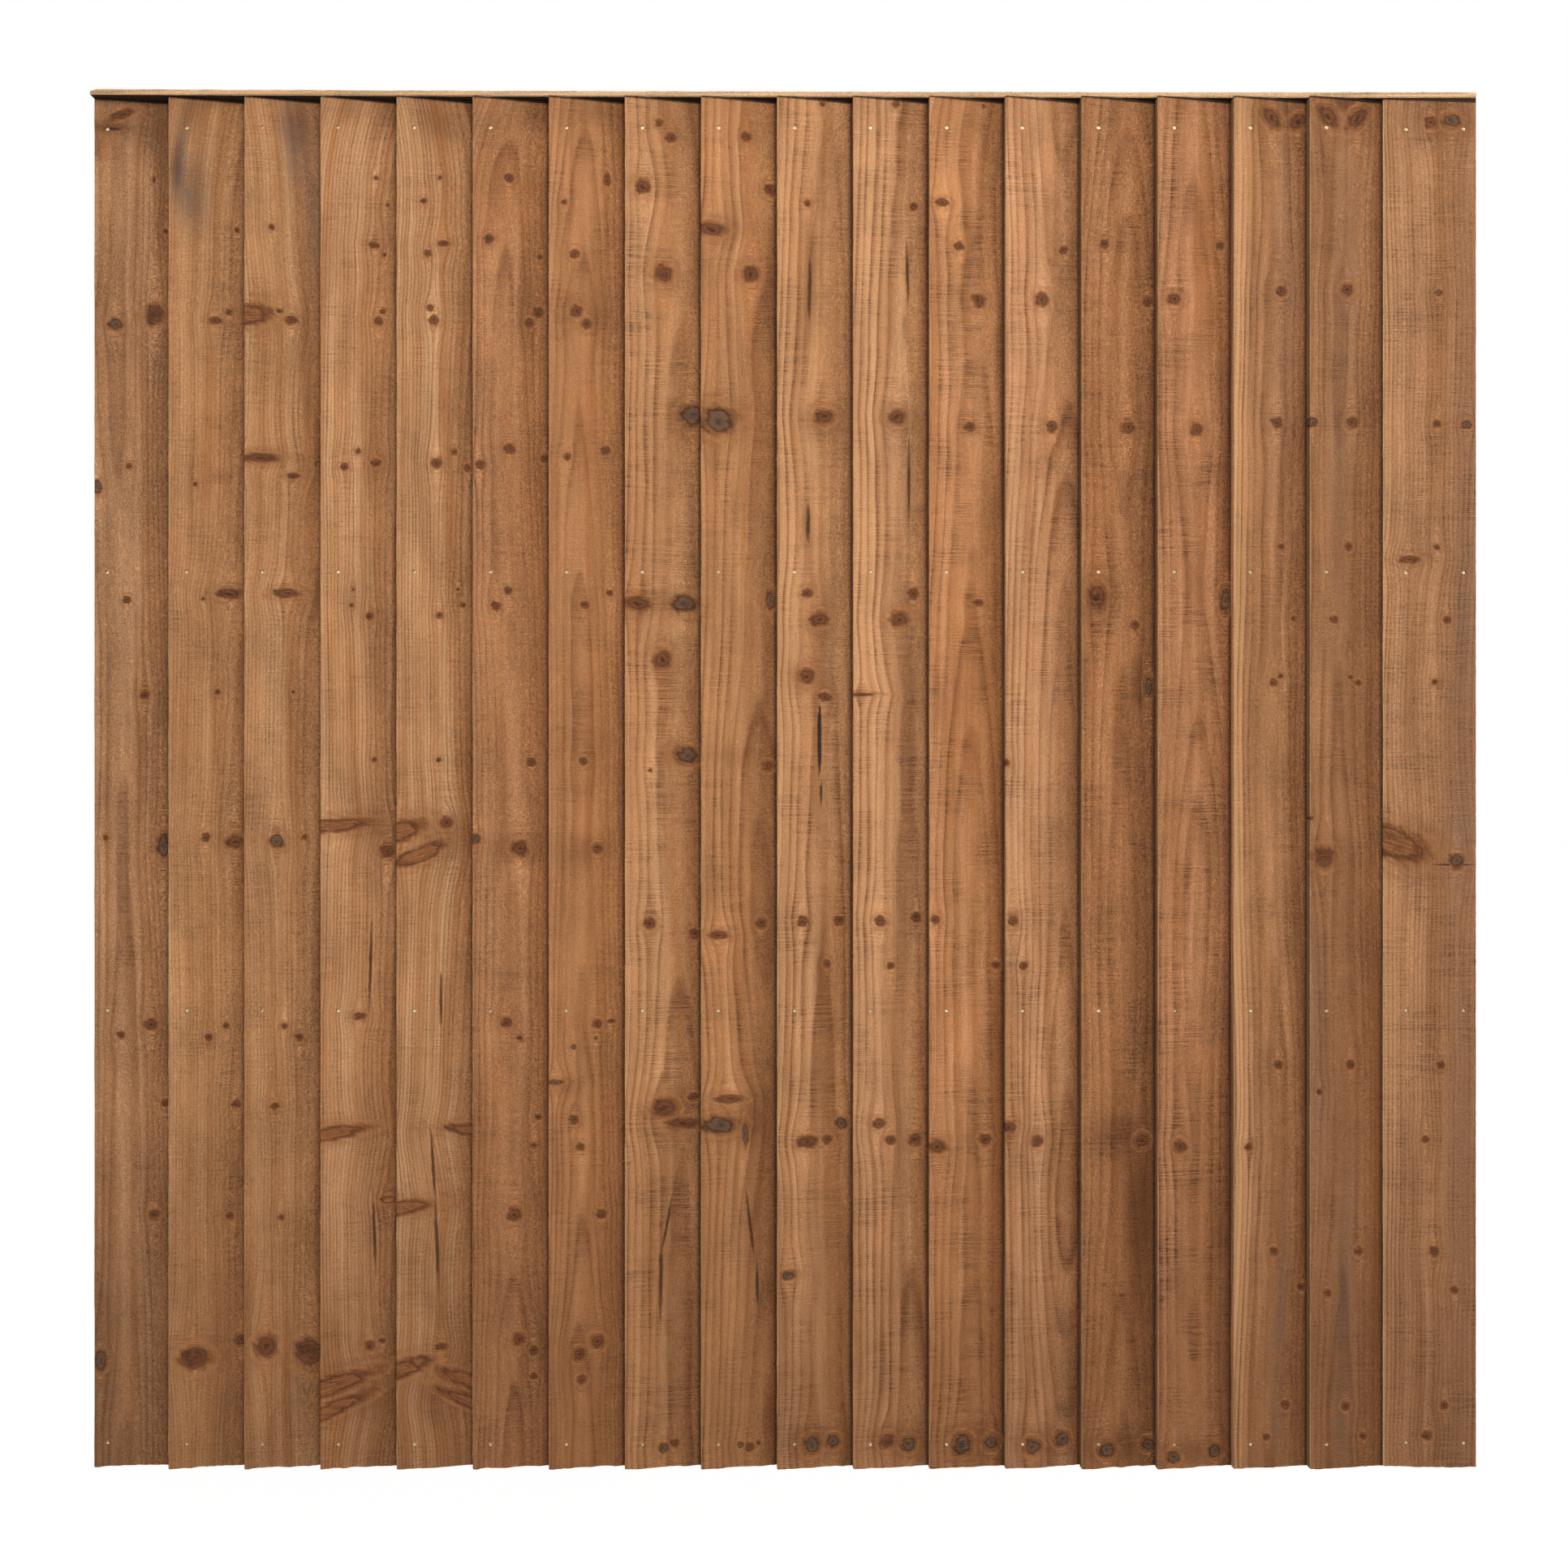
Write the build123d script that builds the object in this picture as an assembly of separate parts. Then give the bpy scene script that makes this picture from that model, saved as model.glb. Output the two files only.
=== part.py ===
"""Close-board fence panel: feather-edge boards nailed upright to a framed back, under a thin cap.

Each board is sawn to a wedge, thick along one edge and thin along the other. The first board lies
flat, with its thick edge on the left. Every following board rests its thick edge on the thin part of
the board before it, so it leans a little. The last board is turned round: its thin edge laps the one
before it, and its thick edge finishes the right side. Two stiles with rails housed into them make
the frame behind the boards. A thin strip caps the ends of the boards and the frame.

Frame of the model, in millimetres: X to the right seen from the front, Z up, and the boards face -Y.
The origin is at the foot of the panel, in the middle of its width and of its overall thickness.
"""

import os
from dataclasses import dataclass
from math import asin, ceil, cos, sin

from build123d import *

# Whole panel
panel_width = 1828.0
board_length = 1811.0  # from the ground to the underside of the cap

# Feather-edge boards
board_width = 122.0
board_thick = 12.0
board_thin = 4.0
least_lap = 20.0  # how far each board covers the one before it, at the least

# Frame behind the boards
frame_depth = 38.0
stile_width = 38.0
rail_height = 63.0
rail_count = 4
middle_rail_drop = 7.0  # the middle rails sit this far under an even spacing
housing_depth = 8.0  # how far the end of a rail goes into the side of its stile

# Cap strip, sprung a little: its left end stands further forward than its right end
cap_width = 58.0
cap_thick = 8.0
cap_front_left = 21.5  # from the nailing plane to the cap's front edge, at the left end
cap_front_right = 13.0
cap_bow = 2.1
cap_worn_length = 5.5  # knocked-off top corner of the left end
cap_worn_height = 4.0

# Nails
top_row_drop = 40.5  # from the underside of the cap to the top row of board nails
foot_row_rise = 32.5  # from the ground to the lowest row
lap_nail_gap = 1.1  # from the hidden edge of the board beneath to the side of the nail
closing_nail_gap = 8.0  # the same on the last board
first_nail_inset = 18.0  # from the left side of the panel
last_nail_inset = 16.0  # from the right side of the panel
cap_nail_setback = 9.0  # from the nailing plane to the line of cap nails
frame_nail_setback = 21.0  # from the nailing plane to the frame nails
boards_per_cap_nail = 3
head_sides = 8

# Fits
nail_clearance = 0.05  # around every shank and head
housing_clearance = 0.2  # above and below the end of a rail


@dataclass(frozen=True)
class NailSize:
    """One kind of nail, with a square shank and a small head."""

    length: float
    shank: float
    head_radius: float
    head_thick: float
    point_length: float
    sunk: float  # how deep the top of the head lies under the wood's surface


board_nail = NailSize(
    length=40.0, shank=2.4, head_radius=2.5, head_thick=1.0, point_length=4.0, sunk=1.2
)
frame_nail = NailSize(
    length=75.0, shank=3.2, head_radius=3.4, head_thick=1.3, point_length=5.0, sunk=0.5
)
cap_nail = NailSize(
    length=36.0, shank=2.0, head_radius=2.1, head_thick=0.8, point_length=3.0, sunk=0.4
)

# Places worked out from the sizes above
half_width = panel_width / 2
even_gaps = ceil((panel_width - board_width) / (board_width - least_lap))
even_pitch = (panel_width - board_width) / even_gaps
steady_lift = board_thick * (board_width / even_pitch - 1) + board_thin
steady_tilt = asin(steady_lift / board_width)
closing_span = board_width * cos(steady_tilt) + board_thick * sin(steady_tilt)
pitch = (panel_width - closing_span) / even_gaps
cap_back_right = cap_width - cap_front_right
nailing_plane = (cap_front_left - cap_back_right) / 2  # Y of the frame's front face


@dataclass(frozen=True)
class BoardLay:
    """Where one board lies: its back left corner, and the thickness of its two long edges."""

    left: float
    lift: float
    left_edge: float
    right_edge: float

    @property
    def tilt(self) -> float:
        """Angle in radians between the board's back and the frame."""
        return asin(self.lift / board_width)

    def point(self, along: float, out: float) -> tuple[float, float]:
        """Plan position of a point along the board's back from its left corner, and out from it."""
        x = self.left + along * cos(self.tilt) + out * sin(self.tilt)
        y = nailing_plane - self.lift + along * sin(self.tilt) - out * cos(self.tilt)
        return x, y

    @property
    def right(self) -> float:
        """X of the board's front right corner, the furthest right that it reaches."""
        return self.point(board_width, self.right_edge)[0]

    def face_y(self, x: float) -> float:
        """Y of the board's front face at a given X."""
        x_left, y_left = self.point(0, self.left_edge)
        x_right, y_right = self.point(board_width, self.right_edge)
        return y_left + (y_right - y_left) * (x - x_left) / (x_right - x_left)


def lay_boards() -> list[BoardLay]:
    """Lays the boards from left to right, each with its left corner on the face of the last."""
    lays = [BoardLay(-half_width, 0.0, board_thick, board_thin)]
    for number in range(1, even_gaps + 1):
        left = -half_width + number * pitch
        lift = nailing_plane - lays[-1].face_y(left)
        closing = number == even_gaps
        edges = (board_thin, board_thick) if closing else (board_thick, board_thin)
        lays.append(BoardLay(left, lift, *edges))
    return lays


def row_heights() -> list[float]:
    """Heights of the rows of board nails, from the ground up, one on each rail."""
    highest = board_length - top_row_drop
    step = (highest - foot_row_rise) / (rail_count - 1)
    middle = [foot_row_rise + n * step - middle_rail_drop for n in range(1, rail_count - 1)]
    return [foot_row_rise, *middle, highest]


def rail_foots(rows: list[float]) -> list[float]:
    """Heights of the rails' undersides: the outer two are flush, the others centred on their row."""
    centred = [row - rail_height / 2 for row in rows]
    return [0.0, *centred[1:-1], board_length - rail_height]


def nail_solid(size: NailSize, play: float, above: float) -> Solid:
    """A nail that points down, with the top of its head at the origin.

    Args:
        size: the kind of nail.
        play: added all round, for the hole that the nail takes up.
        above: how far the head's outline is carried on above the head.
    """
    head_face = Pos(0, 0, -size.head_thick) * RegularPolygon(size.head_radius + play, head_sides)
    head = extrude(head_face, size.head_thick + above, dir=(0, 0, 1))
    straight = size.length - size.point_length
    square = Rectangle(size.shank + 2 * play, size.shank + 2 * play)
    shank = extrude(square, straight, dir=(0, 0, -1))
    point = loft([(Pos(0, 0, -straight) * square).face(), Vertex(0, 0, -size.length - play)])
    return (head + shank + point).solid()


def driven(size: NailSize, places: list[Location]) -> list[tuple[Solid, Solid]]:
    """Nails and the holes they take up, at places whose -Z is the way each nail is driven."""
    nail = nail_solid(size, 0.0, 0.0)
    hole = nail_solid(size, nail_clearance, size.sunk + size.head_radius)
    return [(place * nail, place * hole) for place in places]


def drive_board_nails(lays: list[BoardLay], row: float) -> list[tuple[int, Solid, Solid]]:
    """One row of board nails, each with the number of the board that it holds."""
    last = len(lays) - 1
    half_shank = board_nail.shank / 2
    spots = [(0, -half_width + first_nail_inset)]
    for number in range(1, last):
        spots.append((number, lays[number - 1].right + lap_nail_gap + half_shank))
    spots.append((last, lays[last - 1].right + closing_nail_gap + half_shank))
    spots.append((last, half_width - last_nail_inset))
    places = []
    for number, x in spots:
        head_top = lays[number].face_y(x) + board_nail.sunk
        places.append(Location((x, head_top, row), (90, 0, 0)))
    held = [number for number, _ in spots]
    return [(number, *pair) for number, pair in zip(held, driven(board_nail, places))]


def frame_nail_heights(foot: float, row: float) -> list[float]:
    """Heights of the two nails in each end of a rail, clear of its row of board nails."""
    top = foot + rail_height
    if top - row > row - foot + rail_height / 4:
        return [row + (top - row) / 3, row + (top - row) * 2 / 3]
    return [(foot + row) / 2, (top + row) / 2]


def drive_frame_nails(side: int, foots: list[float], rows: list[float]) -> list[tuple[Solid, Solid]]:
    """Nails through one stile into the ends of the rails. Side is -1 on the left and 1 on the right."""
    x = side * (half_width - frame_nail.sunk)
    y = nailing_plane + frame_nail_setback
    heights = [z for foot, row in zip(foots, rows) for z in frame_nail_heights(foot, row)]
    return driven(frame_nail, [Location((x, y, z), (0, 90 * side, 0)) for z in heights])


def drive_cap_nails(lays: list[BoardLay]) -> list[tuple[Solid, Solid]]:
    """Nails down through the cap into the top rail, each over the middle of a board."""
    y = nailing_plane + cap_nail_setback
    z = board_length + cap_thick - cap_nail.sunk
    nailed = [*lays[:-1:boards_per_cap_nail], lays[-1]]
    return driven(cap_nail, [Location((lay.left + board_width / 2, y, z)) for lay in nailed])


def make_board(lay: BoardLay) -> Part:
    """One feather-edge board, a wedge in plan drawn out to the board's length."""
    corners = [
        lay.point(0, 0),
        lay.point(board_width, 0),
        lay.point(board_width, lay.right_edge),
        lay.point(0, lay.left_edge),
    ]
    return extrude(make_face(Polyline(*corners, close=True)), board_length, dir=(0, 0, 1))


def frame_bar(x: float, foot: float, width: float, height: float) -> Part:
    """A bar as deep as the frame, by the middle of its underside."""
    centre = Pos(x, nailing_plane + frame_depth / 2, foot + height / 2)
    return centre * Box(width, frame_depth, height)


def make_rail(foot: float) -> Part:
    """A rail that reaches to the bottom of its housing in each stile."""
    return frame_bar(0, foot, panel_width - 2 * (stile_width - housing_depth), rail_height)


def make_stile(side: int, foots: list[float]) -> Part:
    """An upright at one side of the frame, with a housing cut across it for the end of each rail."""
    stile = frame_bar(side * (half_width - stile_width / 2), 0, stile_width, board_length)
    inner_face = side * (half_width - stile_width)
    for foot in foots:
        height = rail_height + 2 * housing_clearance
        stile -= frame_bar(inner_face, foot - housing_clearance, 2 * housing_depth, height)
    return stile


def make_cap() -> Part:
    """The sprung cap strip, with the top corner of its left end knocked off."""
    front_left = nailing_plane - cap_front_left
    front_right = nailing_plane - cap_front_right
    front_middle = (front_left + front_right) / 2 + cap_bow
    front = ThreePointArc((-half_width, front_left), (0, front_middle), (half_width, front_right))
    back = Pos(0, cap_width) * front
    outline = [front, Line(front @ 1, back @ 1), back, Line(back @ 0, front @ 0)]
    strip = extrude(make_face(outline), cap_thick, dir=(0, 0, 1))
    worn_plane = Plane(
        origin=(-half_width + cap_worn_length, 0, cap_thick),
        z_dir=(-cap_worn_height, 0, cap_worn_length),
    )
    return Pos(0, 0, board_length) * split(strip, bisect_by=worn_plane, keep=Keep.BOTTOM)


def save(name: str, shape: Compound) -> None:
    """Writes one node's solids to its own file."""
    export_step(shape, f"parts/{name}.step")


def build() -> None:
    """Makes every piece, cuts the nail holes and writes the nodes."""
    os.makedirs("parts", exist_ok=True)
    lays = lay_boards()
    rows = row_heights()
    foots = rail_foots(rows)
    board_rows = [drive_board_nails(lays, row) for row in rows]
    frame_nails = {side: drive_frame_nails(side, foots, rows) for side in (-1, 1)}
    cap_nails = drive_cap_nails(lays)
    frame_holes = [hole for nails in frame_nails.values() for _, hole in nails]
    cap_holes = [hole for _, hole in cap_nails]

    for number, lay in enumerate(lays):
        holes = [hole for row in board_rows for board, _, hole in row if board == number]
        save(f"feather_board_{number + 1:02d}", make_board(lay) - holes)

    rail_names = ["bottom_rail", *[f"middle_rail_{n}" for n in range(1, rail_count - 1)], "top_rail"]
    for name, foot, board_row in zip(rail_names, foots, board_rows):
        holes = [hole for _, _, hole in board_row] + frame_holes
        if name == "top_rail":
            holes += cap_holes
        save(name, make_rail(foot) - holes)

    edge_holes = [hole for row in board_rows for _, _, hole in (row[0], row[-1])]
    for name, side in (("left_stile", -1), ("right_stile", 1)):
        side_holes = [hole for _, hole in frame_nails[side]]
        save(name, make_stile(side, foots) - (edge_holes + side_holes))
    save("cap", make_cap() - cap_holes)

    for number, row in enumerate(board_rows):
        save(f"board_nails_row_{number + 1}", Compound([nail for _, nail, _ in row]))
    for name, side in (("left", -1), ("right", 1)):
        save(f"frame_nails_{name}", Compound([nail for nail, _ in frame_nails[side]]))
    save("cap_nails", Compound([nail for nail, _ in cap_nails]))


build()
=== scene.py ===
"""Looks of the close-board fence panel: sawn boards, framed back, cap strip and nails."""

import logging
import math
from dataclasses import dataclass, field
from enum import Enum
from typing import Any

import bmesh
import bpy
import numpy as np
from mathutils import Matrix, Vector


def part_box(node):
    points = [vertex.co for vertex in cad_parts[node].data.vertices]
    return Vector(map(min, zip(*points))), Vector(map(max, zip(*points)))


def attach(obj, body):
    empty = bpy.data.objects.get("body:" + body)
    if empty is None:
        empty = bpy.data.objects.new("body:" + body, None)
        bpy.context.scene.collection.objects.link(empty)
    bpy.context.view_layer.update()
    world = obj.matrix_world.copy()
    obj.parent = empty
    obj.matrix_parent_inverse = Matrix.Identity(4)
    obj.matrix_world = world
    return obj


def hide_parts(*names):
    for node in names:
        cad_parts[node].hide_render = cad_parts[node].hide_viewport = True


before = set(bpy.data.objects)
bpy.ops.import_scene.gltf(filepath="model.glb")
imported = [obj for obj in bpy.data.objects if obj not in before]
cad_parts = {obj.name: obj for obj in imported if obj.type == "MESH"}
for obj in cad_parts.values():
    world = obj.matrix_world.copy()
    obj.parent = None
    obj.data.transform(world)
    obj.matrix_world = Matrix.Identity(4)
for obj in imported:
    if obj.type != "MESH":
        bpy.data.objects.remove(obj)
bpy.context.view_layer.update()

MM = 0.001

# How many cells a board has across, through and along, and the share of it in each outer one.
BOARD_CELLS = (27, 3, 289)
BOARD_LIPS = (0.011, 0.12, 0.0007)

# How many cells a bar has across and along, and the mm in each outer one.
BAR_CELLS = (6, 289)
BAR_LIP = 1.3

# How far from an end of the unit block a vertex still counts as lying on it.
ON_END = 0.001

# How far, in mm, a surface is from a lap or a cap that it doesn't have.
FAR = 500.0

# What share of a knot's size counts as 1 in the knot attribute: its drawn edge then fits its size.
KNOT_SHARE = 0.58

log = logging.getLogger("fence_panel")


class KnotKind(Enum):
    """What a mark in the wood is. The value is what the finish reads."""

    SOUND = 0.0
    DEAD = 1.0
    RINGED = 2.0
    SPLIT = 3.0
    PIN = 4.0
    POCKET = 5.0
    BRANCH = 6.0


class Tint(Enum):
    """What a soft patch of colour does. The value is its place in the tint attribute."""

    WARM = 0
    DARK = 1
    GREY = 2
    STRAW = 3


@dataclass(frozen=True)
class Knot:
    """A knot or split on a board's face, in mm from its left arris and from the foot.

    A lean moves it aside as it goes up, and a rise lifts it as it goes to the right.
    """

    across: float
    height: float
    wide: float
    tall: float
    kind: KnotKind = KnotKind.SOUND
    lean: float = 0.0
    rise: float = 0.0


@dataclass(frozen=True)
class Patch:
    """A soft-edged patch of colour on a board's face, in mm as a Knot is."""

    tint: Tint
    across: float
    height: float
    wide: float
    tall: float
    amount: float


def linear(code: str) -> tuple[float, float, float, float]:
    """Turns an sRGB hex colour into linear RGBA.

    Args:
        code: six hex digits.

    Returns:
        The linear colour, with an alpha of 1.
    """
    parts = [int(code[i:i + 2], 16) / 255 for i in (0, 2, 4)]
    curve = [p / 12.92 if p <= 0.04045 else ((p + 0.055) / 1.055) ** 2.4 for p in parts]
    return (curve[0], curve[1], curve[2], 1.0)


class NodeTree:
    """A node tree, emptied and then built node by node."""

    def __init__(self, tree: bpy.types.NodeTree) -> None:
        """Empties the tree."""
        self.tree = tree
        self.tree.nodes.clear()

    def add(self, kind: str, inputs: dict | None = None, out: int | str = 0, **settings: Any) -> Any:
        """Adds a node with its settings and links.

        Args:
            kind: the node's type, without the ShaderNode at its start.
            inputs: a socket or a constant for each input that is set.
            out: which output is wanted.
            settings: the node's own properties, and stops for a colour ramp.

        Returns:
            The output socket, or None where the node has no output.
        """
        node = self.tree.nodes.new("ShaderNode" + kind)
        stops = settings.pop("stops", None)
        for key, value in settings.items():
            setattr(node, key, value)
        if stops:
            ramp = node.color_ramp
            while len(ramp.elements) < len(stops):
                ramp.elements.new(1.0)
            for element, (place, shade) in zip(ramp.elements, stops):
                element.position = place
                element.color = shade if isinstance(shade, tuple) else (shade, shade, shade, 1)
        for key, value in (inputs or {}).items():
            if isinstance(value, bpy.types.NodeSocket):
                self.tree.links.new(value, node.inputs[key])
            else:
                node.inputs[key].default_value = value
        return node.outputs[out] if len(node.outputs) else None


class Recipe(NodeTree):
    """The node tree of a new material."""

    def __init__(self, name: str) -> None:
        """Starts an empty material of that name."""
        self.material = bpy.data.materials.new(name)
        self.material.use_nodes = True
        super().__init__(self.material.node_tree)


def smooth_noise(rng: np.random.Generator, at: np.ndarray, wavelength: float) -> np.ndarray:
    """Smooth random values between about -1 and 1 along a line.

    Args:
        rng: the seeded source.
        at: places along the line.
        wavelength: distance between the random values, in the unit of the places.

    Returns:
        One value for each place.
    """
    steps = (at - at.min()) / wavelength
    values = rng.uniform(-1, 1, int(steps.max()) + 3)
    low = steps.astype(int)
    share = steps - low
    share = share * share * (3 - 2 * share)
    return values[low] * (1 - share) + values[low + 1] * share


def read_points(obj: bpy.types.Object) -> np.ndarray:
    """The mesh's vertices as an array of three columns, in mm."""
    flat = np.empty(len(obj.data.vertices) * 3)
    obj.data.vertices.foreach_get("co", flat)
    return flat.reshape(-1, 3) / MM


def write_points(obj: bpy.types.Object, points: np.ndarray) -> None:
    """Gives the mesh's vertices new places, in mm."""
    obj.data.vertices.foreach_set("co", (points * MM).ravel())
    obj.data.update()


def write_attribute(obj: bpy.types.Object, name: str, domain: str, values: np.ndarray) -> None:
    """Stores a vector on each vertex or face corner of a mesh."""
    layer = obj.data.attributes.new(name, "FLOAT_VECTOR", domain)
    layer.data.foreach_set("vector", values.astype(np.float32).ravel())


def deselect() -> None:
    """Leaves nothing selected, in object mode."""
    if bpy.context.object and bpy.context.object.mode != "OBJECT":
        bpy.ops.object.mode_set(mode="OBJECT")
    bpy.ops.object.select_all(action="DESELECT")


def make_active(obj: bpy.types.Object) -> None:
    """Selects one object alone and makes it the active one."""
    deselect()
    obj.select_set(True)
    bpy.context.view_layer.objects.active = obj


def select_faces(obj: bpy.types.Object, sign: int) -> None:
    """Goes into edit mode with the faces selected that look up, or down for a sign of -1."""
    make_active(obj)
    bpy.ops.object.mode_set(mode="EDIT")
    bpy.ops.mesh.select_mode(type="FACE")
    bpy.ops.mesh.select_all(action="DESELECT")
    mesh = bmesh.from_edit_mesh(obj.data)
    for face in mesh.faces:
        face.select_set(sign * face.normal.z > 0.9)
    bmesh.update_edit_mesh(obj.data)


def copy_of(obj: bpy.types.Object, name: str) -> bpy.types.Object:
    """A copy with its own mesh, in the scene."""
    twin = obj.copy()
    twin.data = obj.data.copy()
    twin.name = twin.data.name = name
    bpy.context.scene.collection.objects.link(twin)
    return twin


def join(pieces: list[bpy.types.Object], name: str) -> bpy.types.Object:
    """Joins objects into one.

    Args:
        pieces: the objects, of which the first takes in the rest.
        name: the name of the result.

    Returns:
        The joined object.
    """
    make_active(pieces[0])
    for piece in pieces[1:]:
        piece.select_set(True)
    if len(pieces) > 1:
        bpy.ops.object.join()
    pieces[0].name = pieces[0].data.name = name
    deselect()
    return pieces[0]


def box_of(node: str) -> tuple[np.ndarray, np.ndarray]:
    """The two corners of a CAD node's box, in mm."""
    low, high = (np.array(corner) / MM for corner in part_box(node))
    return low, high


def settle(piece: bpy.types.Object, slot: str, *nodes: str) -> None:
    """Makes a finished piece ride on the panel and stand for its CAD nodes."""
    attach(piece, "root")
    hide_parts(*nodes)
    log.info("%s: %d faces", piece.name, len(piece.data.polygons))


def dress(obj: bpy.types.Object, material: bpy.types.Material) -> None:
    """Gives a piece one material all over."""
    obj.data.materials.clear()
    obj.data.materials.append(material)


def cut_edges(obj: bpy.types.Object, axis: int, cuts: list[int]) -> None:
    """Subdivides the edges that run along one axis, once for each number of cuts."""
    for number in cuts:
        make_active(obj)
        bpy.ops.object.mode_set(mode="EDIT")
        bpy.ops.mesh.select_mode(type="EDGE")
        bpy.ops.mesh.select_all(action="DESELECT")
        mesh = bmesh.from_edit_mesh(obj.data)
        for edge in mesh.edges:
            run = edge.verts[0].co - edge.verts[1].co
            edge.select_set(abs(run[axis]) > 0.9 * run.length)
        bmesh.update_edit_mesh(obj.data)
        bpy.ops.mesh.subdivide(number_cuts=number)
        bpy.ops.object.mode_set(mode="OBJECT")


def blank(name: str, across: list[int], through: list[int], along: list[int]) -> bpy.types.Object:
    """A unit block, cut into a fine grid, from which sawn pieces are shaped.

    Args:
        name: its name.
        across: cuts along X, in one or more rounds.
        through: cuts along Y.
        along: cuts along Z.

    Returns:
        The block, from -0.5 to 0.5 mm each way.
    """
    deselect()
    bpy.ops.mesh.primitive_cube_add(size=MM)
    block = bpy.context.object
    block.name = block.data.name = name
    for axis, cuts in enumerate((across, through, along)):
        cut_edges(block, axis, cuts)
    return block


def note_knots(piece: bpy.types.Object, across: np.ndarray, height: np.ndarray,
               knots: list[Knot]) -> None:
    """Writes, on each face's corners, where they lie about the knot nearest to the face.

    Args:
        piece: the shaped piece.
        across: each vertex's place across the grain, in mm.
        height: each vertex's place along the knots' height, in mm.
        knots: the piece's knots, in the same two measures.
    """
    mesh = piece.data
    corners = np.empty(len(mesh.loops), dtype=np.int32)
    mesh.loops.foreach_get("vertex_index", corners)
    totals = np.empty(len(mesh.polygons), dtype=np.int32)
    mesh.polygons.foreach_get("loop_total", totals)
    starts = np.concatenate([[0], np.cumsum(totals)[:-1]])
    spot_u = np.add.reduceat(across[corners], starts) / totals
    spot_v = np.add.reduceat(height[corners], starts) / totals
    table = np.array([[k.across, k.height, KNOT_SHARE * k.wide, KNOT_SHARE * k.tall, k.kind.value,
                       k.lean, k.rise] for k in knots or [Knot(-FAR, -FAR, 1, 1)]])

    def measure(at_u: np.ndarray, at_v: np.ndarray, k: np.ndarray) -> tuple[np.ndarray, np.ndarray]:
        """Distances aside and above, in knot radii."""
        above = at_v - k[..., 1] - (at_u - k[..., 0]) * k[..., 6]
        aside = at_u - k[..., 0] - above * k[..., 5]
        return aside / k[..., 2], above / k[..., 3]

    aside, above = measure(spot_u[:, None], spot_v[:, None], table[None])
    nearest = np.repeat(np.hypot(aside, above).argmin(axis=1), totals)
    chosen = table[nearest]
    aside, above = measure(across[corners], height[corners], chosen)
    write_attribute(piece, "knot", "CORNER", np.stack([aside, above, chosen[:, 4]], axis=1))


def lipped(unit: np.ndarray, cells: int, lip: float) -> np.ndarray:
    """Moves the first and last grid lines of a block close to its edges.

    Args:
        unit: places from 0 to 1.
        cells: how many cells the grid has that way.
        lip: the width of the outer cells, as a share of the whole.

    Returns:
        The new places, from 0 to 1.
    """
    step = 1 / cells
    return np.interp(unit, [0, step, 1 - step, 1], [0, lip, 1 - lip, 1])


def give_way(aside: np.ndarray, above: np.ndarray, push: float, reach: float, core: float,
             fade: float) -> np.ndarray:
    """How far the grain gives way round a knot.

    Args:
        aside: distances across the grain from the knot's middle, in mm.
        above: distances along it.
        push: the most that the grain moves.
        reach: how far it does so above and below the knot.
        core: the half width in which it turns from one side to the other.
        fade: the distance aside over which it comes to rest.

    Returns:
        The move of each place, in mm, away from the knot.
    """
    swell = push * np.exp(-(np.abs(above) / reach) ** 1.6)
    return swell * aside / np.sqrt(aside ** 2 + core ** 2) * np.exp(-np.abs(aside) / fade)


# The shades of each kind of knot, from its middle out to its edge, which lies at 1.
KNOT_SHADES = {
    KnotKind.SOUND: ((0.2, "28130A"), (0.38, "4A2814"), (0.55, "744425"), (0.74, "5C341C"),
                     (0.9, "6A3F23"), (1.0, "845330")),
    KnotKind.DEAD: ((0.2, "33261F"), (0.42, "56443A"), (0.66, "6C4C37"), (0.86, "3C2617"),
                    (1.0, "80532F")),
    KnotKind.RINGED: ((0.2, "452411"), (0.42, "683B1F"), (0.6, "55301A"), (0.76, "70432A"),
                      (0.9, "5A341D"), (1.0, "8A5834")),
    KnotKind.SPLIT: ((0.0, "2E1B10"), (0.6, "4A2E1C"), (0.85, "6E4628"), (1.0, "8A5C38")),
    KnotKind.PIN: ((0.2, "42240F"), (0.6, "5C361C"), (0.85, "734527"), (1.0, "875632")),
    KnotKind.BRANCH: ((0.2, "8C5430"), (0.4, "A0683F"), (0.62, "8E5833"), (0.76, "9A623A"),
                      (0.92, "553219"), (1.0, "7C4B2A")),
}


@dataclass(frozen=True)
class SawnSoftwood:
    """Sawn softwood under a brown preservative, dry and matt.

    Spruce or pine off a bandsaw: pale early wood between thin dark late-wood lines, which
    the saw leaves slightly proud, a nap of torn fibres, fine cross marks of the blade, and
    knots darker and redder than the wood round them.
    """

    name: str
    pale: str = "C19065"
    mid: str = "AC774C"
    late: str = "7C4A28"
    warm: str = "A4622F"
    dark: str = "5C3214"
    grey: str = "6C5A50"
    heart: str = "9C663C"
    rings: float = 0.75
    saw: float = 0.5
    mottle: float = 0.75
    nap: float = 0.9
    flecks: float = 0.35
    roughness: float = 0.86
    specular: float = 0.25

    def make(self) -> bpy.types.Material:
        """A material that reads the attributes grain, place, tint, cover and knot."""
        return SoftwoodRecipe(self).material


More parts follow.
